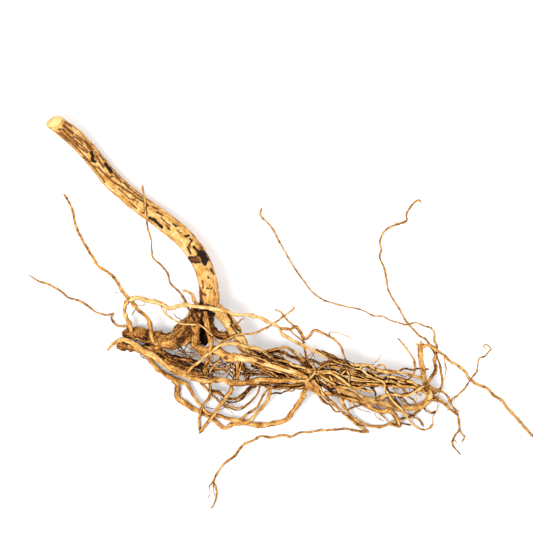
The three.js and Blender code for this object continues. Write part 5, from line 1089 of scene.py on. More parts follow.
farWhiskersRoutes = [
    # long upper whisker
    dict(tone=0.4, girth=[1.6, 1.2, 1.1, 1.1, 1, 1, 1, 1, 1.1, 1.2], route=[
        (102.5, -26.4, 19.6), (101.9, -21.8, 18.4), (100.5, -19.2, 17.2), (100.7, -14.6, 15.4),
        (98.8, -11.2, 14), (93.8, -9.3, 12), (88, -7.2, 10.4), (82, -8.6, 8.8), (76.4, -7, 7.8),
        (70.2, -5.4, 6.8), (66.8, -3.1, 6.2), (59.5, -2.5, 5.4), (55, 0, 4.8), (48.5, 2.3, 4.4),
        (42, 3.5, 4), (33, 5.8, 3.4), (26, 8.2, 3), (19, 13, 2.6), (14, 19, 2.4), (6.6, 29.3, 2),
        (0, 40.3, 1.6), (-5, 49.5, 1.3), (-8, 55.4, 1), (-11.2, 59.5, 0.8), (-16.6, 65.5, 0.7),
        (-15.9, 70.3, 0.6)]),
    # tall right whisker
    dict(tone=0.42, girth=[1.8, 1.5, 1.4, 1.4, 1.4, 1.3, 1.4, 1.4, 1.4, 1.4], route=[
        (98, -54.5, 4), (101.3, -54.2, 4.6), (104.6, -51.8, 5.6), (106.1, -46.8, 7.4),
        (105, -39.6, 10.6), (103.7, -33.3, 13), (101, -27.8, 15), (98.2, -23.6, 16), (95.2, -18.6, 16),
        (90.3, -15.7, 15.2), (86, -11.4, 13.8), (81.2, -5.8, 12.4), (78, 0.5, 11.4), (75, 5.5, 10.4),
        (71.5, 11, 9.6), (69.2, 16, 9), (68.5, 22, 8.6), (66.8, 30, 8), (63.8, 37, 7.6),
        (65, 42.2, 7.4), (64, 46.6, 7.2), (67.4, 55, 7), (75.8, 59.1, 6.8), (82, 61.6, 6.6),
        (82, 66.4, 6.4), (84, 70, 6.2), (89.8, 75.5, 5.8), (92, 73.8, 5.4)]),
    # whisker at lower right
    dict(tone=[0.3, 0.36, 0.4], girth=[2.4, 2, 1.9, 1.9, 1.9, 1.9, 1.9, 1.8, 1.3], route=[
        (91, -24, 21.4), (96.5, -22.1, 22), (102, -25.7, 21.6), (107, -29.1, 20.6),
        (111.4, -33.4, 19.2), (116, -35.6, 17.8), (121.6, -40.4, 15.8), (124, -44.8, 14.4),
        (130, -48.8, 12.4), (136, -51.3, 10.4), (141, -56.3, 8.2), (146.5, -60, 6.2),
        (150.3, -65.2, 4.8), (155.5, -70.5, 3.6), (159, -75, 2.8), (163.2, -79.5, 2),
        (166.5, -83.2, 1.5), (170.4, -85.4, 1.2), (173.1, -87.6, 0.9)]),
    # forked whisker
    dict(tone=0.44, girth=[1.9, 1.6, 1.6, 1.4, 1.2, 1], route=[
        (94.5, -48.6, 9.4), (98.6, -51.3, 8.8), (103.9, -52.8, 7.8), (109.3, -56.2, 6.4),
        (111.5, -61.5, 5), (116, -67.8, 3.4), (117.3, -74, 2.6), (117.4, -79.8, 2), (114.6, -83.5, 1.6),
        (112.8, -88.4, 1), (118.5, -96.4, 0.6)]),
    # and its fork
    dict(tone=0.42, girth=[1.3, 1], route=[
        (117.4, -78.6, 2), (119.1, -82.1, 1.8), (121.1, -84.6, 1.4), (119, -88, 1)]),
    # curled whisker
    dict(tone=0.46, girth=[1.4, 1.1, 1.1, 1, 0.9], route=[
        (111.6, -62.6, 4.8), (112.4, -59.2, 4.8), (116.9, -55.8, 5), (120.4, -52.4, 5.4),
        (124.5, -46.3, 6), (129.4, -39.6, 6), (130.9, -31.4, 5), (135, -29.8, 4.2), (137.2, -27, 3.6),
        (138.8, -25.2, 3.2), (137.4, -22.7, 3.2), (134.6, -22, 3.4), (134, -23.8, 3.6),
        (135.8, -24.6, 3.6)]),
    # short tie
    dict(tone=0.5, girth=[2.2, 1.6, 1.6], route=[
        (96.5, -58.5, 3), (103, -59.6, 4), (108.4, -62.9, 4), (112.9, -66.9, 3.8), (116.6, -69.5, 3.2)]),
    # drop below the bundle
    dict(tone=0.36, girth=[1.6, 1.6, 1.4, 1.2, 0.9], route=[
        (58, -45.6, 17.6), (64, -46.8, 15.4), (67.4, -51.3, 12), (69.8, -55.9, 10.4), (73.4, -60.6, 9),
        (78.3, -65.1, 7.4), (83.4, -72.2, 4), (87.9, -77.4, 1.6), (95.4, -79.5, 0.8), (99.5, -75.4, 1)]),
    # pale hair down the right
    dict(tone=0.22, girth=[0.8, 0.8, 0.7], route=[
        (107, -30.2, 20), (107.7, -35.4, 18), (108.4, -37.9, 16.6), (107.9, -41.4, 14),
        (107.5, -44.6, 11.6), (106.4, -46.8, 9.4)]),
    dict(tone=0.42, girth=[1.6, 1.5], route=[
        (100.8, -57.1, 4), (103.5, -58.4, 4.6), (106.6, -61.1, 4.6), (109.7, -62, 4.6)]),
    dict(tone=0.7, girth=[1.2, 1.1, 1.7], route=[
        (93.7, -64.6, 3), (95, -66.4, 2.6), (97.2, -67.8, 2.2), (99, -68.4, 1.8), (100.8, -67.3, 1.6),
        (101.7, -66.9, 1.5)]),
    dict(tone=0.72, girth=[1.3, 1.2], route=[
        (75.8, -57.1, 12), (78.9, -57.9, 11), (80.7, -59.7, 9.6), (82.5, -61.5, 8), (84.7, -63.1, 6.4)]),
    dict(tone=0.72, girth=[1, 1], route=[
        (90.5, -52.1, 12), (93.2, -53.9, 10), (96.3, -55.7, 7)]),
    dict(tone=0.5, girth=[0.6, 0.5], route=[
        (83.4, -57.1, 11), (86.5, -58.8, 9), (89.2, -62, 6)]),
    dict(tone=0.5, girth=[0.6, 0.5], route=[
        (87, -54, 12.6), (90, -55.6, 11), (93.2, -56.6, 9)]),
    # pale hair off the floor end
    dict(tone=0.28, girth=[0.7, 0.7, 0.6], route=[
        (95.4, -79.5, 0.8), (97, -79, 0.9), (99, -78, 1), (100, -76, 1.2), (99.5, -73, 1.4),
        (100.2, -70, 1.6), (101.5, -67.5, 1.8), (102.8, -65, 2.2), (103, -62, 3), (103, -60.5, 3.6)]),
    dict(tone=0.45, girth=[0.6, 0.4], route=[
        (104.5, -54, 7), (103, -56.5, 6.4), (104, -58.5, 6)]),
    dict(tone=0.25, girth=[0.8, 0.6], route=[
        (115, -66.5, 4), (118, -66.4, 4.4)]),
    dict(tone=0.35, girth=[0.8, 0.6], route=[
        (109, -66.5, 3.6), (110, -66, 3.8), (111, -65.5, 4)]),
    dict(tone=0.4, girth=[0.8, 0.6], route=[
        (117.2, -74.8, 2.6), (116, -74.3, 2.8)]),
    dict(tone=0.5, girth=[0.5, 0.4], route=[
        (114.3, -86.3, 1.3), (115.2, -87.5, 1.1), (115.8, -88.8, 0.8)]),
    # hairs at the long tail's end
    dict(tone=0.5, girth=[0.5, 0.4], route=[
        (-51, -118, 0.7), (-50.8, -120.5, 0.6), (-50.8, -123.3, 0.6), (-52.6, -126.5, 0.5)]),
    dict(tone=0.5, girth=[0.5, 0.4], route=[
        (-48.5, -116.5, 0.7), (-48.3, -121, 0.6), (-47.3, -124, 0.6)]),
    dict(tone=0.5, girth=[0.6, 0.5], route=[
        (-49, -132, 0.6), (-50.2, -132.2, 0.6), (-50.4, -132.6, 0.6)]),
]


# broken hair stubs that stand off the roots, lengths and widths in mm
spurs = {"count": 150, "length": (0.9, 2.6), "width": (0.35, 0.7), "lowest": 2.0, "thickest": 4,
         "lean": 0.9, "rise": 0.3}


def spurStrands(tables):
    table = np.concatenate(tables)
    table = table[(table[:, 2] > spurs["lowest"]) & (table[:, radiusOf] < spurs["thickest"])]
    made = []
    for k in range(spurs["count"]):
        row = table[dice.randrange(len(table))]
        turn = dice.uniform(0, math.tau)
        out = row[sideOf] * math.cos(turn) + row[upOf] * math.sin(turn)
        lean = row[tangentOf] * dice.uniform(-spurs["lean"], spurs["lean"])
        length = dice.uniform(*spurs["length"])
        width = dice.uniform(*spurs["width"])
        start = row[centreOf] + out * row[radiusOf] * 0.7
        middle = start + (out + lean) * length * 0.5
        rise = np.array((0, 0, dice.uniform(-spurs["rise"], spurs["rise"])))
        end = start + (out + lean * 1.5) * length + rise
        made.append(dict(tone=dice.uniform(0.3, 0.7), girth=[width, width * 0.8, width * 0.6],
                         route=[tuple(start), tuple(middle), tuple(end)], knobs=0.3))
    return made


# thin rootlets that follow the big ones, and short ties between neighbours, in mm
fillers = {"followers": 62, "followLength": (12, 48), "followWidth": (0.5, 1.3), "gap": (0.1, 2.2),
           "ties": 60, "tieReach": (4, 13), "tieWidth": (0.4, 0.8), "turnRate": 0.05,
           "bow": 0.22, "poolLeast": 30, "followLeast": 10, "skip": 5}
tangle = {"x": (-72, 86), "y": (-68, -26), "z": (7, 27)}


def inTangle(row):
    return all(tangle[axis][0] < row[k] < tangle[axis][1] for k, axis in enumerate("xyz"))


def fillerStrands(tables):
    made = []
    pools = [table[[inTangle(row) for row in table]] for table in tables]
    pools = [pool for pool in pools if len(pool) > fillers["poolLeast"]]
    while len(made) < fillers["followers"]:
        pool = dice.choice(pools)
        start = dice.randrange(len(pool) - fillers["followLeast"] - 2)
        reach = int(dice.uniform(*fillers["followLength"]) / growth["step"])
        rows = pool[start:start + reach]
        rows = rows[rows[:, rankOf] == rows[0, rankOf]]
        if len(rows) < fillers["followLeast"]:
            continue
        turn = dice.uniform(0, math.tau)
        gap = dice.uniform(*fillers["gap"])
        drift = dice.uniform(-fillers["turnRate"], fillers["turnRate"])
        route = []
        for k in range(0, len(rows), fillers["skip"]):
            row = rows[k]
            angle = turn + drift * k + 0.5 * math.sin(k * 0.21 + turn)
            away = row[radiusOf] + gap * (0.5 + 0.5 * math.sin(k * 0.13 + gap))
            out = row[sideOf] * math.cos(angle) + row[upOf] * math.sin(angle)
            route.append(tuple(row[centreOf] + out * away))
        width = dice.uniform(*fillers["followWidth"])
        made.append(dict(tone=dice.uniform(0.15, 0.7), girth=[width, width, width * 0.8],
                         route=route))
    table = np.concatenate(pools)
    while len(made) < fillers["followers"] + fillers["ties"]:
        a, b = table[dice.randrange(len(table))], table[dice.randrange(len(table))]
        apart = np.linalg.norm(a[centreOf] - b[centreOf])
        if not fillers["tieReach"][0] < apart < fillers["tieReach"][1]:
            continue
        bow = [dice.uniform(-1, 1), dice.uniform(-1, 1), dice.uniform(-0.5, 0.5)]
        bow = np.array(bow) * apart * fillers["bow"]
        width = dice.uniform(*fillers["tieWidth"])
        a, b = a[centreOf], b[centreOf]
        route = [a, a * 0.67 + b * 0.33 + bow, a * 0.33 + b * 0.67 + bow * 0.6, b]
        made.append(dict(tone=dice.uniform(0.25, 0.7), girth=[width, width * 0.8, width],
                         route=[tuple(p) for p in route], wander=1.6))
    return made


# black scars and brown stains on the upper side, each a line in x, y and a width, in mm. Some scars are
# painted shadow and shade, and some stains painted shade.
scarsAndShade = [
    ([(-130.5, 107.5), (-129.5, 105), (-130, 102.5), (-128, 101.5)], 2.5),
    ([(-121, 99.5), (-118.8, 97), (-117, 94.5)], 2.6),
    ([(-94, 73.5), (-92, 71.5)], 1.2),
    ([(-96, 67), (-93, 66.5)], 1.2),
    ([(-86.5, 67.5), (-82.5, 65)], 1.2),
    ([(-86, 67.5), (-82.5, 65)], 1.2),
    ([(-91, 63.5), (-88, 62), (-85.5, 59.5), (-83, 57)], 2.2),
    ([(-75.5, 59.5), (-73, 57.5)], 1.2),
    ([(-79.5, 58), (-77.5, 55.5)], 1.2),
    ([(-67, 51), (-65, 51.5)], 1.8),
    ([(-64, 49.5), (-62.5, 48), (-64, 46.5), (-64.5, 44.5)], 1.2),
    ([(-65.5, 43.5), (-64.5, 41.5), (-63.5, 39.5)], 1.6),
    ([(-65, 35.5), (-64, 37)], 1.6),
    ([(-64.5, 37.4), (-61, 36.9), (-58.5, 38)], 1.1),
    ([(-64.5, 34.1), (-60, 33.2), (-57, 33.6)], 1.2),
    ([(-61.5, 44), (-59.5, 42), (-57.5, 39.5)], 1.8),
    ([(-57, 39.5), (-55, 37.5), (-53.5, 35.5)], 4.6),
    ([(-55, 35), (-54, 33)], 3.4),
    ([(-56.5, 43.5), (-55, 41), (-53, 39)], 1.3),
    ([(-50, 29.5), (-48, 25.5)], 1.2),
    ([(-52, 24), (-51.5, 23)], 1.2),
    ([(-52.5, 16), (-51, 16)], 1.2),
    ([(-49.5, 16.5), (-49.5, 15.5)], 1.2),
    ([(-57.5, 7.5), (-56, 6)], 1.4),
    ([(-53, 5.5), (-51.5, 5)], 1.2),
    ([(-50, 4), (-47.5, 3.5)], 1.2),
    ([(-62.5, 6.5), (-62, 6)], 1.7),
    ([(-38.4, -2), (-36.8, -4), (-35.6, -6)], 1.2),
    ([(-37.2, -6.8), (-35.2, -7.2), (-36.4, -9.2), (-34.4, -11.2), (-32.8, -14)], 1.3),
    ([(-32.8, -11.2), (-30, -12.8)], 1.2),
    # painted shadow of the pale cross root on the stem below it
    ([(-60.8, 1.6), (-58, 1)], 1.6),
    ([(-55.7, 1), (-51.3, 0.3), (-48, -1)], 2.8),
    ([(-55.6, -1.5), (-55.9, -6), (-55.6, -12)], 2.2),
    ([(-50.5, -1), (-48.6, -4)], 2.6),
    ([(-59.5, -1), (-58.2, -4)], 1.4),
    ([(-63, -2), (-61, -5)], 1.2),
    # painted shade in the open end of the hollow stub
    ([(-113.4, -21.8), (-112.8, -24.2)], 1.9),
    ([(-72, -22), (-69, -24.4)], 1.1),
]
stainsAndEdgeShade = [
    ([(-148, 128), (-144, 125)], 1.4),
    ([(-149, 125.5), (-146, 123), (-143, 120.5)], 2.0),
    ([(-152.5, 123), (-149.5, 123)], 1.4),
    ([(-149.5, 123), (-146.5, 119.5), (-141, 115)], 1.5),
    ([(-134.5, 115.5), (-132, 112.5), (-130, 109.5)], 1.4),
    ([(-126, 98), (-123.5, 95), (-119.5, 91)], 1.4),
    ([(-115, 93.5), (-112, 90)], 1.4),
    ([(-108.5, 87), (-105.5, 84.5)], 1.4),
    ([(-141, 119.5), (-137.5, 117), (-134, 113.5), (-131, 109)], 1.1),
    ([(-142.5, 118.5), (-139, 116.5), (-136, 113)], 1.1),
    ([(-140.5, 114.5), (-139.5, 112), (-136.5, 109.5), (-133, 107.5)], 1.1),
    ([(-139.5, 114), (-136, 111.5), (-132.5, 108)], 1.1),
    ([(-127, 105), (-124.5, 101), (-122, 97.5)], 1.3),
    ([(-125, 106), (-122, 102.5)], 1.1),
    ([(-136, 104.5), (-133, 102), (-130, 99), (-127.5, 97.5)], 1.1),
    ([(-119.5, 91), (-115.5, 87.5), (-110, 84.5),
      (-107, 82), (-103, 79.5), (-99, 76.5), (-95.5, 74.5)], 1.3),
    ([(-119, 90.5), (-115.5, 91.5), (-112, 89.5), (-110, 87)], 1.1),
    ([(-106, 84), (-102.5, 81.5), (-98.5, 78.5), (-95, 76)], 1.1),
    ([(-112, 83), (-108.5, 80), (-105, 76.5), (-101, 75.5), (-99, 73.5)], 1.1),
    ([(-105, 74.5), (-102.5, 72), (-100, 69.5)], 1.1),
    # painted shade: thin lines along the stem's lower-left edge
    ([(-152.5, 120.5), (-141, 111.5), (-135, 105), (-131, 100), (-126, 94), (-121.5, 87.5)], 1.1),
    ([(-151, 121), (-146.5, 117), (-139, 112)], 1.1),
    ([(-89.5, 71), (-85.5, 69.5)], 1.1),
    ([(-72.5, 55), (-70, 53)], 1.1),
    ([(-83.5, 63.5), (-80.5, 60.5), (-77.5, 58.5)], 1.1),
    ([(-55.5, 21), (-55, 16)], 1.1),
    ([(-57, 13.5), (-53.5, 11.5)], 1.8),
    ([(-58, 18.5), (-57.5, 8)], 1.1),
    ([(-34, -9.2), (-32.8, -10)], 2.1),
    ([(-40.4, -30.4), (-39.2, -31.2)], 2.1),
    ([(-18, -32.4), (-15.2, -33.6)], 2.1),
    ([(-63.5, 35.6), (-59, 35)], 3.6),
    ([(-57.5, 14), (-57.2, 9), (-57.8, 5)], 3.4),
    ([(-56, 9.5), (-55, 5)], 1.8),
]
brush = {"warp": 0.42, "warpScale": 0.75, "edge": 0.30, "reach": 5, "sideways": -0.15}


def brushShade(points, normals, strokes):
    shade = np.zeros(len(points))
    upper = normals[:, 2] > brush["sideways"]
    for line, width in strokes:
        line = np.array(line, float)
        low, high = line.min(0) - brush["reach"], line.max(0) + brush["reach"]
        near = upper & (points[:, :2] > low).all(1) & (points[:, :2] < high).all(1)
        spots = np.flatnonzero(near)
        if len(spots) == 0:
            continue
        warped = points[spots, :2].copy()
        for k, i in enumerate(spots):
            p = Vector(points[i]) * brush["warpScale"]
            drift = noise.noise_vector(p) + noise.noise_vector(p * 2.4) * 0.5
            warped[k] += np.array(drift[:2]) * brush["warp"]
        best = np.full(len(spots), 1e9)
        for a, b in zip(line[:-1], line[1:]):
            ab = b - a
            t = np.clip((warped - a) @ ab / max(ab @ ab, 1e-9), 0, 1)
            best = np.minimum(best, np.linalg.norm(warped - a - t[:, None] * ab, axis=1))
        level = np.clip(0.5 + (width / 2 - best) / (2 * brush["edge"]), 0, 1)
        shade[spots] = np.maximum(shade[spots], level)
    return shade


# painted shade: how far the flanks and belly are darkened as they turn from up
paintedFlankShade = {"from": 0.80, "over": 0.9, "pull": 0.36, "curve": 1.3}


# how dark the skin is at each vertex, apart from its fine streaks, with painted shade on the flanks and
# belly
def paintSkin(piece, table, scarAndShadeList, stainAndEdgeShadeList):
    mesh = piece.data
    points = meshPoints(mesh) / mm
    rows, turn, along = nearestSkin(points, table)
    normals = meshNormals(mesh)
    # painted shade: sides and belly darken as their normal turns away from up
    away = np.clip((paintedFlankShade["from"] - normals[:, 2]) / paintedFlankShade["over"], 0, 1)
    setVectors(mesh, "grain", grainPlaces(rows, turn, along))
    setValues(mesh, "tone", rows[:, toneOf] + paintedFlankShade["pull"] * away ** paintedFlankShade["curve"])
    setValues(mesh, "fissured", rows[:, roughOf])
    setValues(mesh, "scarAndShade", brushShade(points, normals, scarAndShadeList))
    setValues(mesh, "stainAndEdgeShade", brushShade(points, normals, stainAndEdgeShadeList))


# painted shade: how boxed in each vertex is, from a few rays; the bark is darkened there as the shade in
# crevices
creviceShade = {"rays": 12, "quickRays": 5, "turn": 2.39996, "spread": 0.92,
           "reach": 4.5 * mm, "lift": 0.03 * mm}


def paintCreviceShade(pieces):
    corners, faces, base = [], [], 0
    for piece in pieces:
        mesh = piece.data
        points = meshPoints(mesh)
        mesh.calc_loop_triangles()
        triangles = np.empty(len(mesh.loop_triangles) * 3, np.int32)
        mesh.loop_triangles.foreach_get("vertices", triangles)
        corners.append(points)
        faces.append(triangles.reshape(-1, 3) + base)
        base += len(points)
    tree = BVHTree.FromPolygons(np.concatenate(corners).tolist(), np.concatenate(faces).tolist())
    count = creviceShade["rays"]
    turns = [k * creviceShade["turn"] for k in range(count)]
    heights = [1 - (k + 0.5) / count * creviceShade["spread"] for k in range(count)]
    fan = [Vector((math.sqrt(1 - h * h) * math.cos(a), math.sqrt(1 - h * h) * math.sin(a), h))
           for a, h in zip(turns, heights)]
    for piece in pieces:
        mesh = piece.data
        points = meshPoints(mesh)
        normals = meshNormals(mesh)
        shade = np.zeros(len(points))
        for i in range(len(points)):
            normal = Vector(normals[i])
            start = Vector(points[i]) + normal * creviceShade["lift"]
            turned = normal.to_track_quat("Z", "Y").to_matrix()
            total = 0.0
            for way in fan:
                hit = tree.ray_cast(start, turned @ way, creviceShade["reach"])[3]
                if hit is not None:
                    total += (1 - hit / creviceShade["reach"]) * way.z
            shade[i] = total / sum(way.z for way in fan)
        setValues(mesh, "creviceShade", shade)


# a map for each piece: every strand unrolled into strips, laid in rows
strips = {"margin": 0.7, "across": 55.0, "most": 1000}


def unrollStrips(piece, table):
    mesh = piece.data
    points = meshPoints(mesh) / mm
    loopVertex = np.empty(len(mesh.loops), np.int32)
    mesh.loops.foreach_get("vertex_index", loopVertex)
    loopTotal = np.empty(len(mesh.polygons), np.int32)
    mesh.polygons.foreach_get("loop_total", loopTotal)
    centres = np.empty(len(mesh.polygons) * 3)
    mesh.polygons.foreach_get("center", centres)
    rows, turn, along = nearestSkin(centres.reshape(-1, 3) / mm, table)
    owner = np.repeat(np.arange(len(mesh.polygons)), loopTotal)
    near = rows[owner]
    rel = points[loopVertex] - near[:, centreOf]
    loopTurn = np.arctan2((rel * near[:, upOf]).sum(1), (rel * near[:, sideOf]).sum(1))
    loopTurn = turn[owner] + (loopTurn - turn[owner] + np.pi) % math.tau - np.pi
    loopAlong = near[:, alongOf] + (rel * near[:, tangentOf]).sum(1)
    key = rows[:, rankOf] * strips["most"] + np.maximum(0, along) // strips["across"]
    key = key.astype(int)
    names, which = np.unique(key, return_inverse=True)
    girths = np.zeros(len(names))
    np.maximum.at(girths, which, math.tau * rows[:, radiusOf])
    order = np.argsort(-girths)
    tall = girths + 2 * strips["margin"]
    wide = strips["across"] + 2 * strips["margin"]
    columns = max(1, int(round(math.sqrt(tall.sum() * wide) / wide)))
    cornerX, cornerY, height = np.zeros(len(names)), np.zeros(len(names)), 0.0
    for start in range(0, len(order), columns):
        row = order[start:start + columns]
        for k, name in enumerate(row):
            cornerX[name] = k * wide + strips["margin"]
            cornerY[name] = height + strips["margin"]
        height += tall[row].max()
    strip = which[owner]
    u = cornerX[strip] + loopAlong - (key[owner] % strips["most"]) * strips["across"]
    v = cornerY[strip] + (loopTurn + np.pi) / math.tau * girths[strip]
    scale = 1 / max(columns * wide, height)
    while mesh.uv_layers:
        mesh.uv_layers.remove(mesh.uv_layers[0])
    layer = mesh.uv_layers.new(name="OFBake")
    layer.uv.foreach_set("vector", np.column_stack([u, v]).ravel() * scale)


# dry bark over pale wood: long streaks, broad bands, flecks, scars and stains, with painted shade in the
# crevices, on the flanks and in some scar and stain marks
barkLook = {
    "streakScale": 0.95, "streakStretch": 0.10,
    "bandScale": 0.20, "bandStretch": 0.9,
    "fleckScale": 1.25, "fleckStretch": 0.55,
    "fissureScale": 0.50, "fissureStretch": 0.14, "fissureWidth": 0.035, "fissurePull": 0.42,
    "speckScale": 1.15, "speckStretch": 0.6, "speckFrom": 0.665, "speckTo": 0.70,
    "streakPull": 0.50, "bandPull": 0.60, "fleckPull": 0.62, "dentPull": 0.55,
    # dark colours for crevice shade, for scars and stains, the last two also carrying painted shade
    "creviceShadeFrom": 0.08, "creviceShadeTo": 0.50, "creviceShadeColour": (0.014, 0.006, 0.003, 1),
    "scarAndShadeDark": (0.026, 0.014, 0.009, 1), "stainAndEdgeShadeDark": (0.17, 0.062, 0.020, 1),
    "speckDark": (0.035, 0.015, 0.007, 1),
    "roughFrom": 0.62, "roughTo": 0.9, "gloss": 0.16, "bump": 0.6, "bumpHeight": 0.5 * mm,
    "stops": [(0.0, (0.79, 0.575, 0.275, 1)), (0.20, (0.71, 0.388, 0.115, 1)),
              (0.42, (0.50, 0.245, 0.068, 1)), (0.62, (0.27, 0.110, 0.024, 1)),
              (0.80, (0.090, 0.032, 0.008, 1)), (0.96, (0.022, 0.009, 0.004, 1))],
}


def mathNode(tree, place, operation, a=None, b=None, c=None):
    node = addNode(tree, "ShaderNodeMath", place, {"operation": operation})
    for socket, value in zip(node.inputs, (a, b, c)):
        if isinstance(value, (int, float)):
            socket.default_value = value
        elif value is not None:
            tree.links.new(value, socket)
    return node.outputs[0]


def grainNoise(tree, grain, place, scale, stretch, detail, roughness):
    mapping = addNode(tree, "ShaderNodeMapping", place)
    mapping.inputs["Scale"].default_value = (scale, scale, scale * stretch)
    tree.links.new(grain, mapping.inputs["Vector"])
    texture = addNode(tree, "ShaderNodeTexNoise", (place[0] + 200, place[1]),
                      Scale=1.0, Detail=detail, Roughness=roughness)
    tree.links.new(mapping.outputs[0], texture.inputs["Vector"])
    return texture.outputs["Fac"]


def readAttribute(tree, name, place):
    return addNode(tree, "ShaderNodeAttribute", place, {"attribute_name": name})


def makeBark():
    look = barkLook
    bark = bpy.data.materials.new("scrapedRootBark")
    bark.use_nodes = True
    tree = bark.node_tree
    shader = tree.nodes["Principled BSDF"]
    grain = readAttribute(tree, "grain", (-1800, 200)).outputs["Vector"]
    # tone holds the strand's own tone plus the painted shade on its flanks
    tone = readAttribute(tree, "tone", (-1200, 500)).outputs["Fac"]
    scarAndShade = readAttribute(tree, "scarAndShade", (-400, 500)).outputs["Fac"]
    creviceShadeMask = readAttribute(tree, "creviceShade", (-700, 700)).outputs["Fac"]
    dent = readAttribute(tree, "dent", (-1500, 700)).outputs["Fac"]
    fissured = readAttribute(tree, "fissured", (-900, -800)).outputs["Fac"]
    stainAndEdgeShade = readAttribute(tree, "stainAndEdgeShade", (-400, 900)).outputs["Fac"]
    streak = grainNoise(tree, grain, (-1600, 300), look["streakScale"], look["streakStretch"], 5, 0.62)
    band = grainNoise(tree, grain, (-1600, 0), look["bandScale"], look["bandStretch"], 3, 0.5)
    fleck = grainNoise(tree, grain, (-1600, -300), look["fleckScale"], look["fleckStretch"], 4, 0.6)
    level = mathNode(tree, (-1200, 300), "MULTIPLY_ADD", streak, 2 * look["streakPull"], tone)
    level = mathNode(tree, (-1000, 300), "MULTIPLY_ADD", band, 2 * look["bandPull"], level)
    level = mathNode(tree, (-800, 300), "MULTIPLY_ADD", fleck, 2 * look["fleckPull"], level)
    offset = look["streakPull"] + look["bandPull"] + look["fleckPull"]
    level = mathNode(tree, (-600, 300), "SUBTRACT", level, offset)
    level = mathNode(tree, (-500, 300), "MULTIPLY_ADD", dent, -look["dentPull"], level)
    line = grainNoise(tree, grain, (-1600, -600), look["fissureScale"], look["fissureStretch"],
                      2, 0.45)
    line = mathNode(tree, (-1200, -600), "SUBTRACT", line, 0.5)
    line = mathNode(tree, (-1050, -600), "ABSOLUTE", line)
    crack = addNode(tree, "ShaderNodeMapRange", (-900, -600), {"interpolation_type": "SMOOTHSTEP"})
    crack.inputs["From Min"].default_value = look["fissureWidth"]
    crack.inputs["From Max"].default_value = 0.0
    crack.inputs["To Max"].default_value = look["fissurePull"]
    tree.links.new(line, crack.inputs["Value"])
    crack = mathNode(tree, (-700, -600), "MULTIPLY", crack.outputs[0], fissured)
    level = mathNode(tree, (-450, 200), "ADD", crack, level)
    ramp = addNode(tree, "ShaderNodeValToRGB", (-300, 300))
    stops = ramp.color_ramp.elements
    while len(stops) < len(look["stops"]):
        stops.new(0.5)
    for stop, (where, colour) in zip(stops, look["stops"]):
        stop.position = where
        stop.color = colour
    tree.links.new(level, ramp.inputs[0])
    # painted shade: the more boxed in a vertex is, the darker its colour
    pit = addNode(tree, "ShaderNodeMapRange", (-400, 700), {"interpolation_type": "SMOOTHSTEP"})
    pit.inputs["From Min"].default_value = look["creviceShadeFrom"]
    pit.inputs["From Max"].default_value = look["creviceShadeTo"]
    tree.links.new(creviceShadeMask, pit.inputs["Value"])
    speck = grainNoise(tree, grain, (-1600, -900), look["speckScale"], look["speckStretch"], 2, 0.5)
    speckMask = addNode(tree, "ShaderNodeMapRange", (-900, -1000))
    speckMask.inputs["From Min"].default_value = look["speckFrom"]
    speckMask.inputs["From Max"].default_value = look["speckTo"]
    tree.links.new(speck, speckMask.inputs["Value"])
    # the scar and stain masks carry painted shade as well as real marks; the crevice mask is painted
    # shade alone
    layers = [(stainAndEdgeShade, "stainAndEdgeShadeDark"), (speckMask.outputs[0], "speckDark"), (scarAndShade, "scarAndShadeDark"),
              (pit.outputs[0], "creviceShadeColour")]
    colour = ramp.outputs["Color"]
    for k, (mask, dark) in enumerate(layers):
        blend = addNode(tree, "ShaderNodeMix", (k * 180, 300), {"data_type": "RGBA"})
        tree.links.new(mask, blend.inputs["Factor"])
        tree.links.new(colour, blend.inputs["A"])
        blend.inputs["B"].default_value = look[dark]
        colour = blend.outputs["Result"]
    tree.links.new(colour, shader.inputs["Base Color"])
    rough = addNode(tree, "ShaderNodeMapRange", (0, 0))
    rough.inputs["To Min"].default_value = look["roughFrom"]
    rough.inputs["To Max"].default_value = look["roughTo"]
    tree.links.new(level, rough.inputs["Value"])
    tree.links.new(rough.outputs[0], shader.inputs["Roughness"])
    shader.inputs["Specular IOR Level"].default_value = look["gloss"]
    height = mathNode(tree, (-400, -200), "MULTIPLY_ADD", fleck, 0.6, streak)
    bump = addNode(tree, "ShaderNodeBump", (0, -200), Strength=look["bump"])
    bump.inputs["Distance"].default_value = look["bumpHeight"]
    tree.links.new(height, bump.inputs["Height"])
    tree.links.new(bump.outputs[0], shader.inputs["Normal"])
    shader.location = (450, 300)
    tree.nodes["Material Output"].location = (750, 300)
    return bark


# the sawn face of the stem: faint rings and specks on pale wood
sawn = {
    "through": (-155.3, 128.5, 16.0),
    "facing": (-0.40, 0.70, 0.59),
    "pale": (0.90, 0.66, 0.30, 1),
    "ring": (0.80, 0.50, 0.17, 1),
    "ringScale": 0.33, "ringWave": 2.0, "speckScale": 1.6,
    "roughness": 0.8, "gloss": 0.2, "bump": 0.3, "bumpHeight": 0.2 * mm,
}


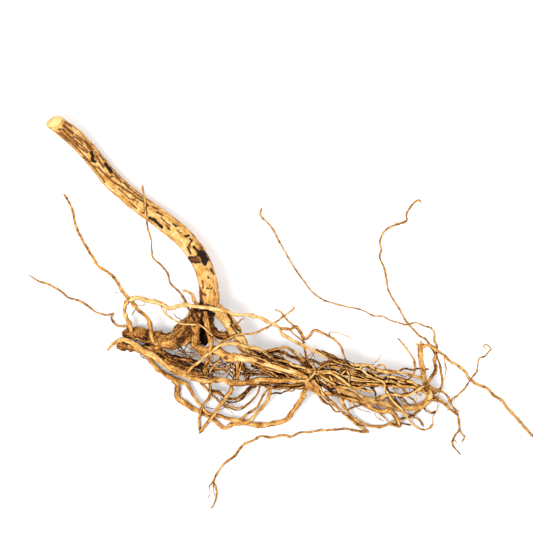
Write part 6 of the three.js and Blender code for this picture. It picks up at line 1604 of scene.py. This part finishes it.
def makeSawnWood():
    wood = bpy.data.materials.new("sawnEndWood")
    wood.use_nodes = True
    tree = wood.node_tree
    shader = tree.nodes["Principled BSDF"]
    place = addNode(tree, "ShaderNodeTexCoord", (-1200, 0)).outputs["Object"]
    centred = addNode(tree, "ShaderNodeMapping", (-1000, 0), {"vector_type": "TEXTURE"})
    centred.inputs["Location"].default_value = [v * mm for v in sawn["through"]]
    turned = Vector(sawn["facing"]).to_track_quat("Z", "Y").to_euler()
    centred.inputs["Rotation"].default_value = turned
    centred.inputs["Scale"].default_value = (mm, mm, mm)
    tree.links.new(place, centred.inputs["Vector"])
    rings = addNode(tree, "ShaderNodeTexWave", (-700, 100),
                    {"wave_type": "RINGS", "rings_direction": "Z"},
                    Scale=sawn["ringScale"], Distortion=sawn["ringWave"], Detail=3)
    rings.inputs["Detail Scale"].default_value = 0.8
    tree.links.new(centred.outputs[0], rings.inputs["Vector"])
    specks = addNode(tree, "ShaderNodeTexNoise", (-700, -200), Scale=sawn["speckScale"], Detail=5)
    tree.links.new(centred.outputs[0], specks.inputs["Vector"])
    share = mathNode(tree, (-500, 0), "MULTIPLY", rings.outputs["Fac"], specks.outputs["Fac"])
    ramp = addNode(tree, "ShaderNodeValToRGB", (-300, 0))
    ramp.color_ramp.elements[0].position = 0.15
    ramp.color_ramp.elements[0].color = sawn["pale"]
    ramp.color_ramp.elements[1].position = 0.75
    ramp.color_ramp.elements[1].color = sawn["ring"]
    tree.links.new(share, ramp.inputs[0])
    tree.links.new(ramp.outputs[0], shader.inputs["Base Color"])
    shader.inputs["Roughness"].default_value = sawn["roughness"]
    shader.inputs["Specular IOR Level"].default_value = sawn["gloss"]
    bump = addNode(tree, "ShaderNodeBump", (-300, -300), Strength=sawn["bump"])
    bump.inputs["Distance"].default_value = sawn["bumpHeight"]
    tree.links.new(specks.outputs["Fac"], bump.inputs["Height"])
    tree.links.new(bump.outputs[0], shader.inputs["Normal"])
    return wood


bark = makeBark()
sawnWood = makeSawnWood()
print("materials ready")

fused = {"voxel": 0.45 * mm, "thickVoxel": 0.42 * mm, "smooth": 2}
pieces = []
tables = []


def finishPiece(piece, table, scarAndShadeList=(), stainAndEdgeShadeList=()):
    paintSkin(piece, table, scarAndShadeList, stainAndEdgeShadeList)
    unrollStrips(piece, table)
    makeActive(piece)
    bpy.ops.object.shade_smooth()
    pieces.append(piece)
    tables.append(table)
    print(piece.name, len(piece.data.vertices), "vertices")


def makeFused(name, strands, voxel, ridge, lump, pit):
    piece, table = strandMesh(name, strands, 4)
    applyModifier(piece, "REMESH", mode="VOXEL", voxel_size=voxel)
    applyModifier(piece, "SMOOTH", factor=0.5, iterations=fused["smooth"])
    weather(piece, table, ridge, lump, pit)
    return piece, table


# the sawn stem, the leaning trunk and the limb, grown into one
stemAndTrunk, stemTable = makeFused("stemAndTrunk", stemAndTrunkRoutes, fused["voxel"],
                                    ridge=0.22, lump=0.40, pit=0.20)
stemAndTrunk.data.materials.append(bark)
stemAndTrunk.data.materials.append(sawnWood)
makeActive(stemAndTrunk)
bpy.ops.object.mode_set(mode="EDIT")
bpy.ops.mesh.select_all(action="SELECT")
bpy.ops.mesh.bisect(plane_co=[v * mm for v in sawn["through"]], plane_no=sawn["facing"],
                    use_fill=True, clear_outer=True)
bpy.ops.object.mode_set(mode="OBJECT")
cutWay = Vector(sawn["facing"]).normalized()
for face in stemAndTrunk.data.polygons:
    if face.normal.dot(cutWay) > 0.99 and len(face.vertices) > 8:
        face.material_index = 1
        face.use_smooth = False
finishPiece(stemAndTrunk, stemTable, scarsAndShade, stainsAndEdgeShade)

thickRoots, thickTable = makeFused("thickRoots", thickRootsRoutes, fused["thickVoxel"],
                                   ridge=0.16, lump=0.22, pit=0.18)
thickRoots.data.materials.append(bark)
finishPiece(thickRoots, thickTable, (), stainsAndEdgeShade)

thinPieces = [
    ("crownRoots", crownRootsRoutes),
    ("lowerRoots", lowerRootsRoutes),
    ("leftRunners", leftRunnersRoutes),
    ("rightRoots", rightRootsRoutes),
    ("farWhiskers", farWhiskersRoutes),
]
for name, strands in thinPieces:
    piece, table = strandMesh(name, strands, 2)
    weather(piece, table, ridge=0.10, lump=0.10, pit=0.12)
    piece.data.materials.append(bark)
    finishPiece(piece, table)

fineRoots, fineTable = strandMesh("fineRoots", fillerStrands(tables[1:]), 1)
weather(fineRoots, fineTable, ridge=0.08, lump=0.08, pit=0.08)
fineRoots.data.materials.append(bark)
finishPiece(fineRoots, fineTable)

hairs, hairTable = strandMesh("hairStubs", spurStrands(tables), 0)
weather(hairs, hairTable, ridge=0, lump=0, pit=0)
hairs.data.materials.append(bark)
finishPiece(hairs, hairTable)

paintCreviceShade(pieces)
print("crevices painted")

for piece in pieces:
    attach(piece, "root")
    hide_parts("melastoma_root")

bpy.context.view_layer.update()
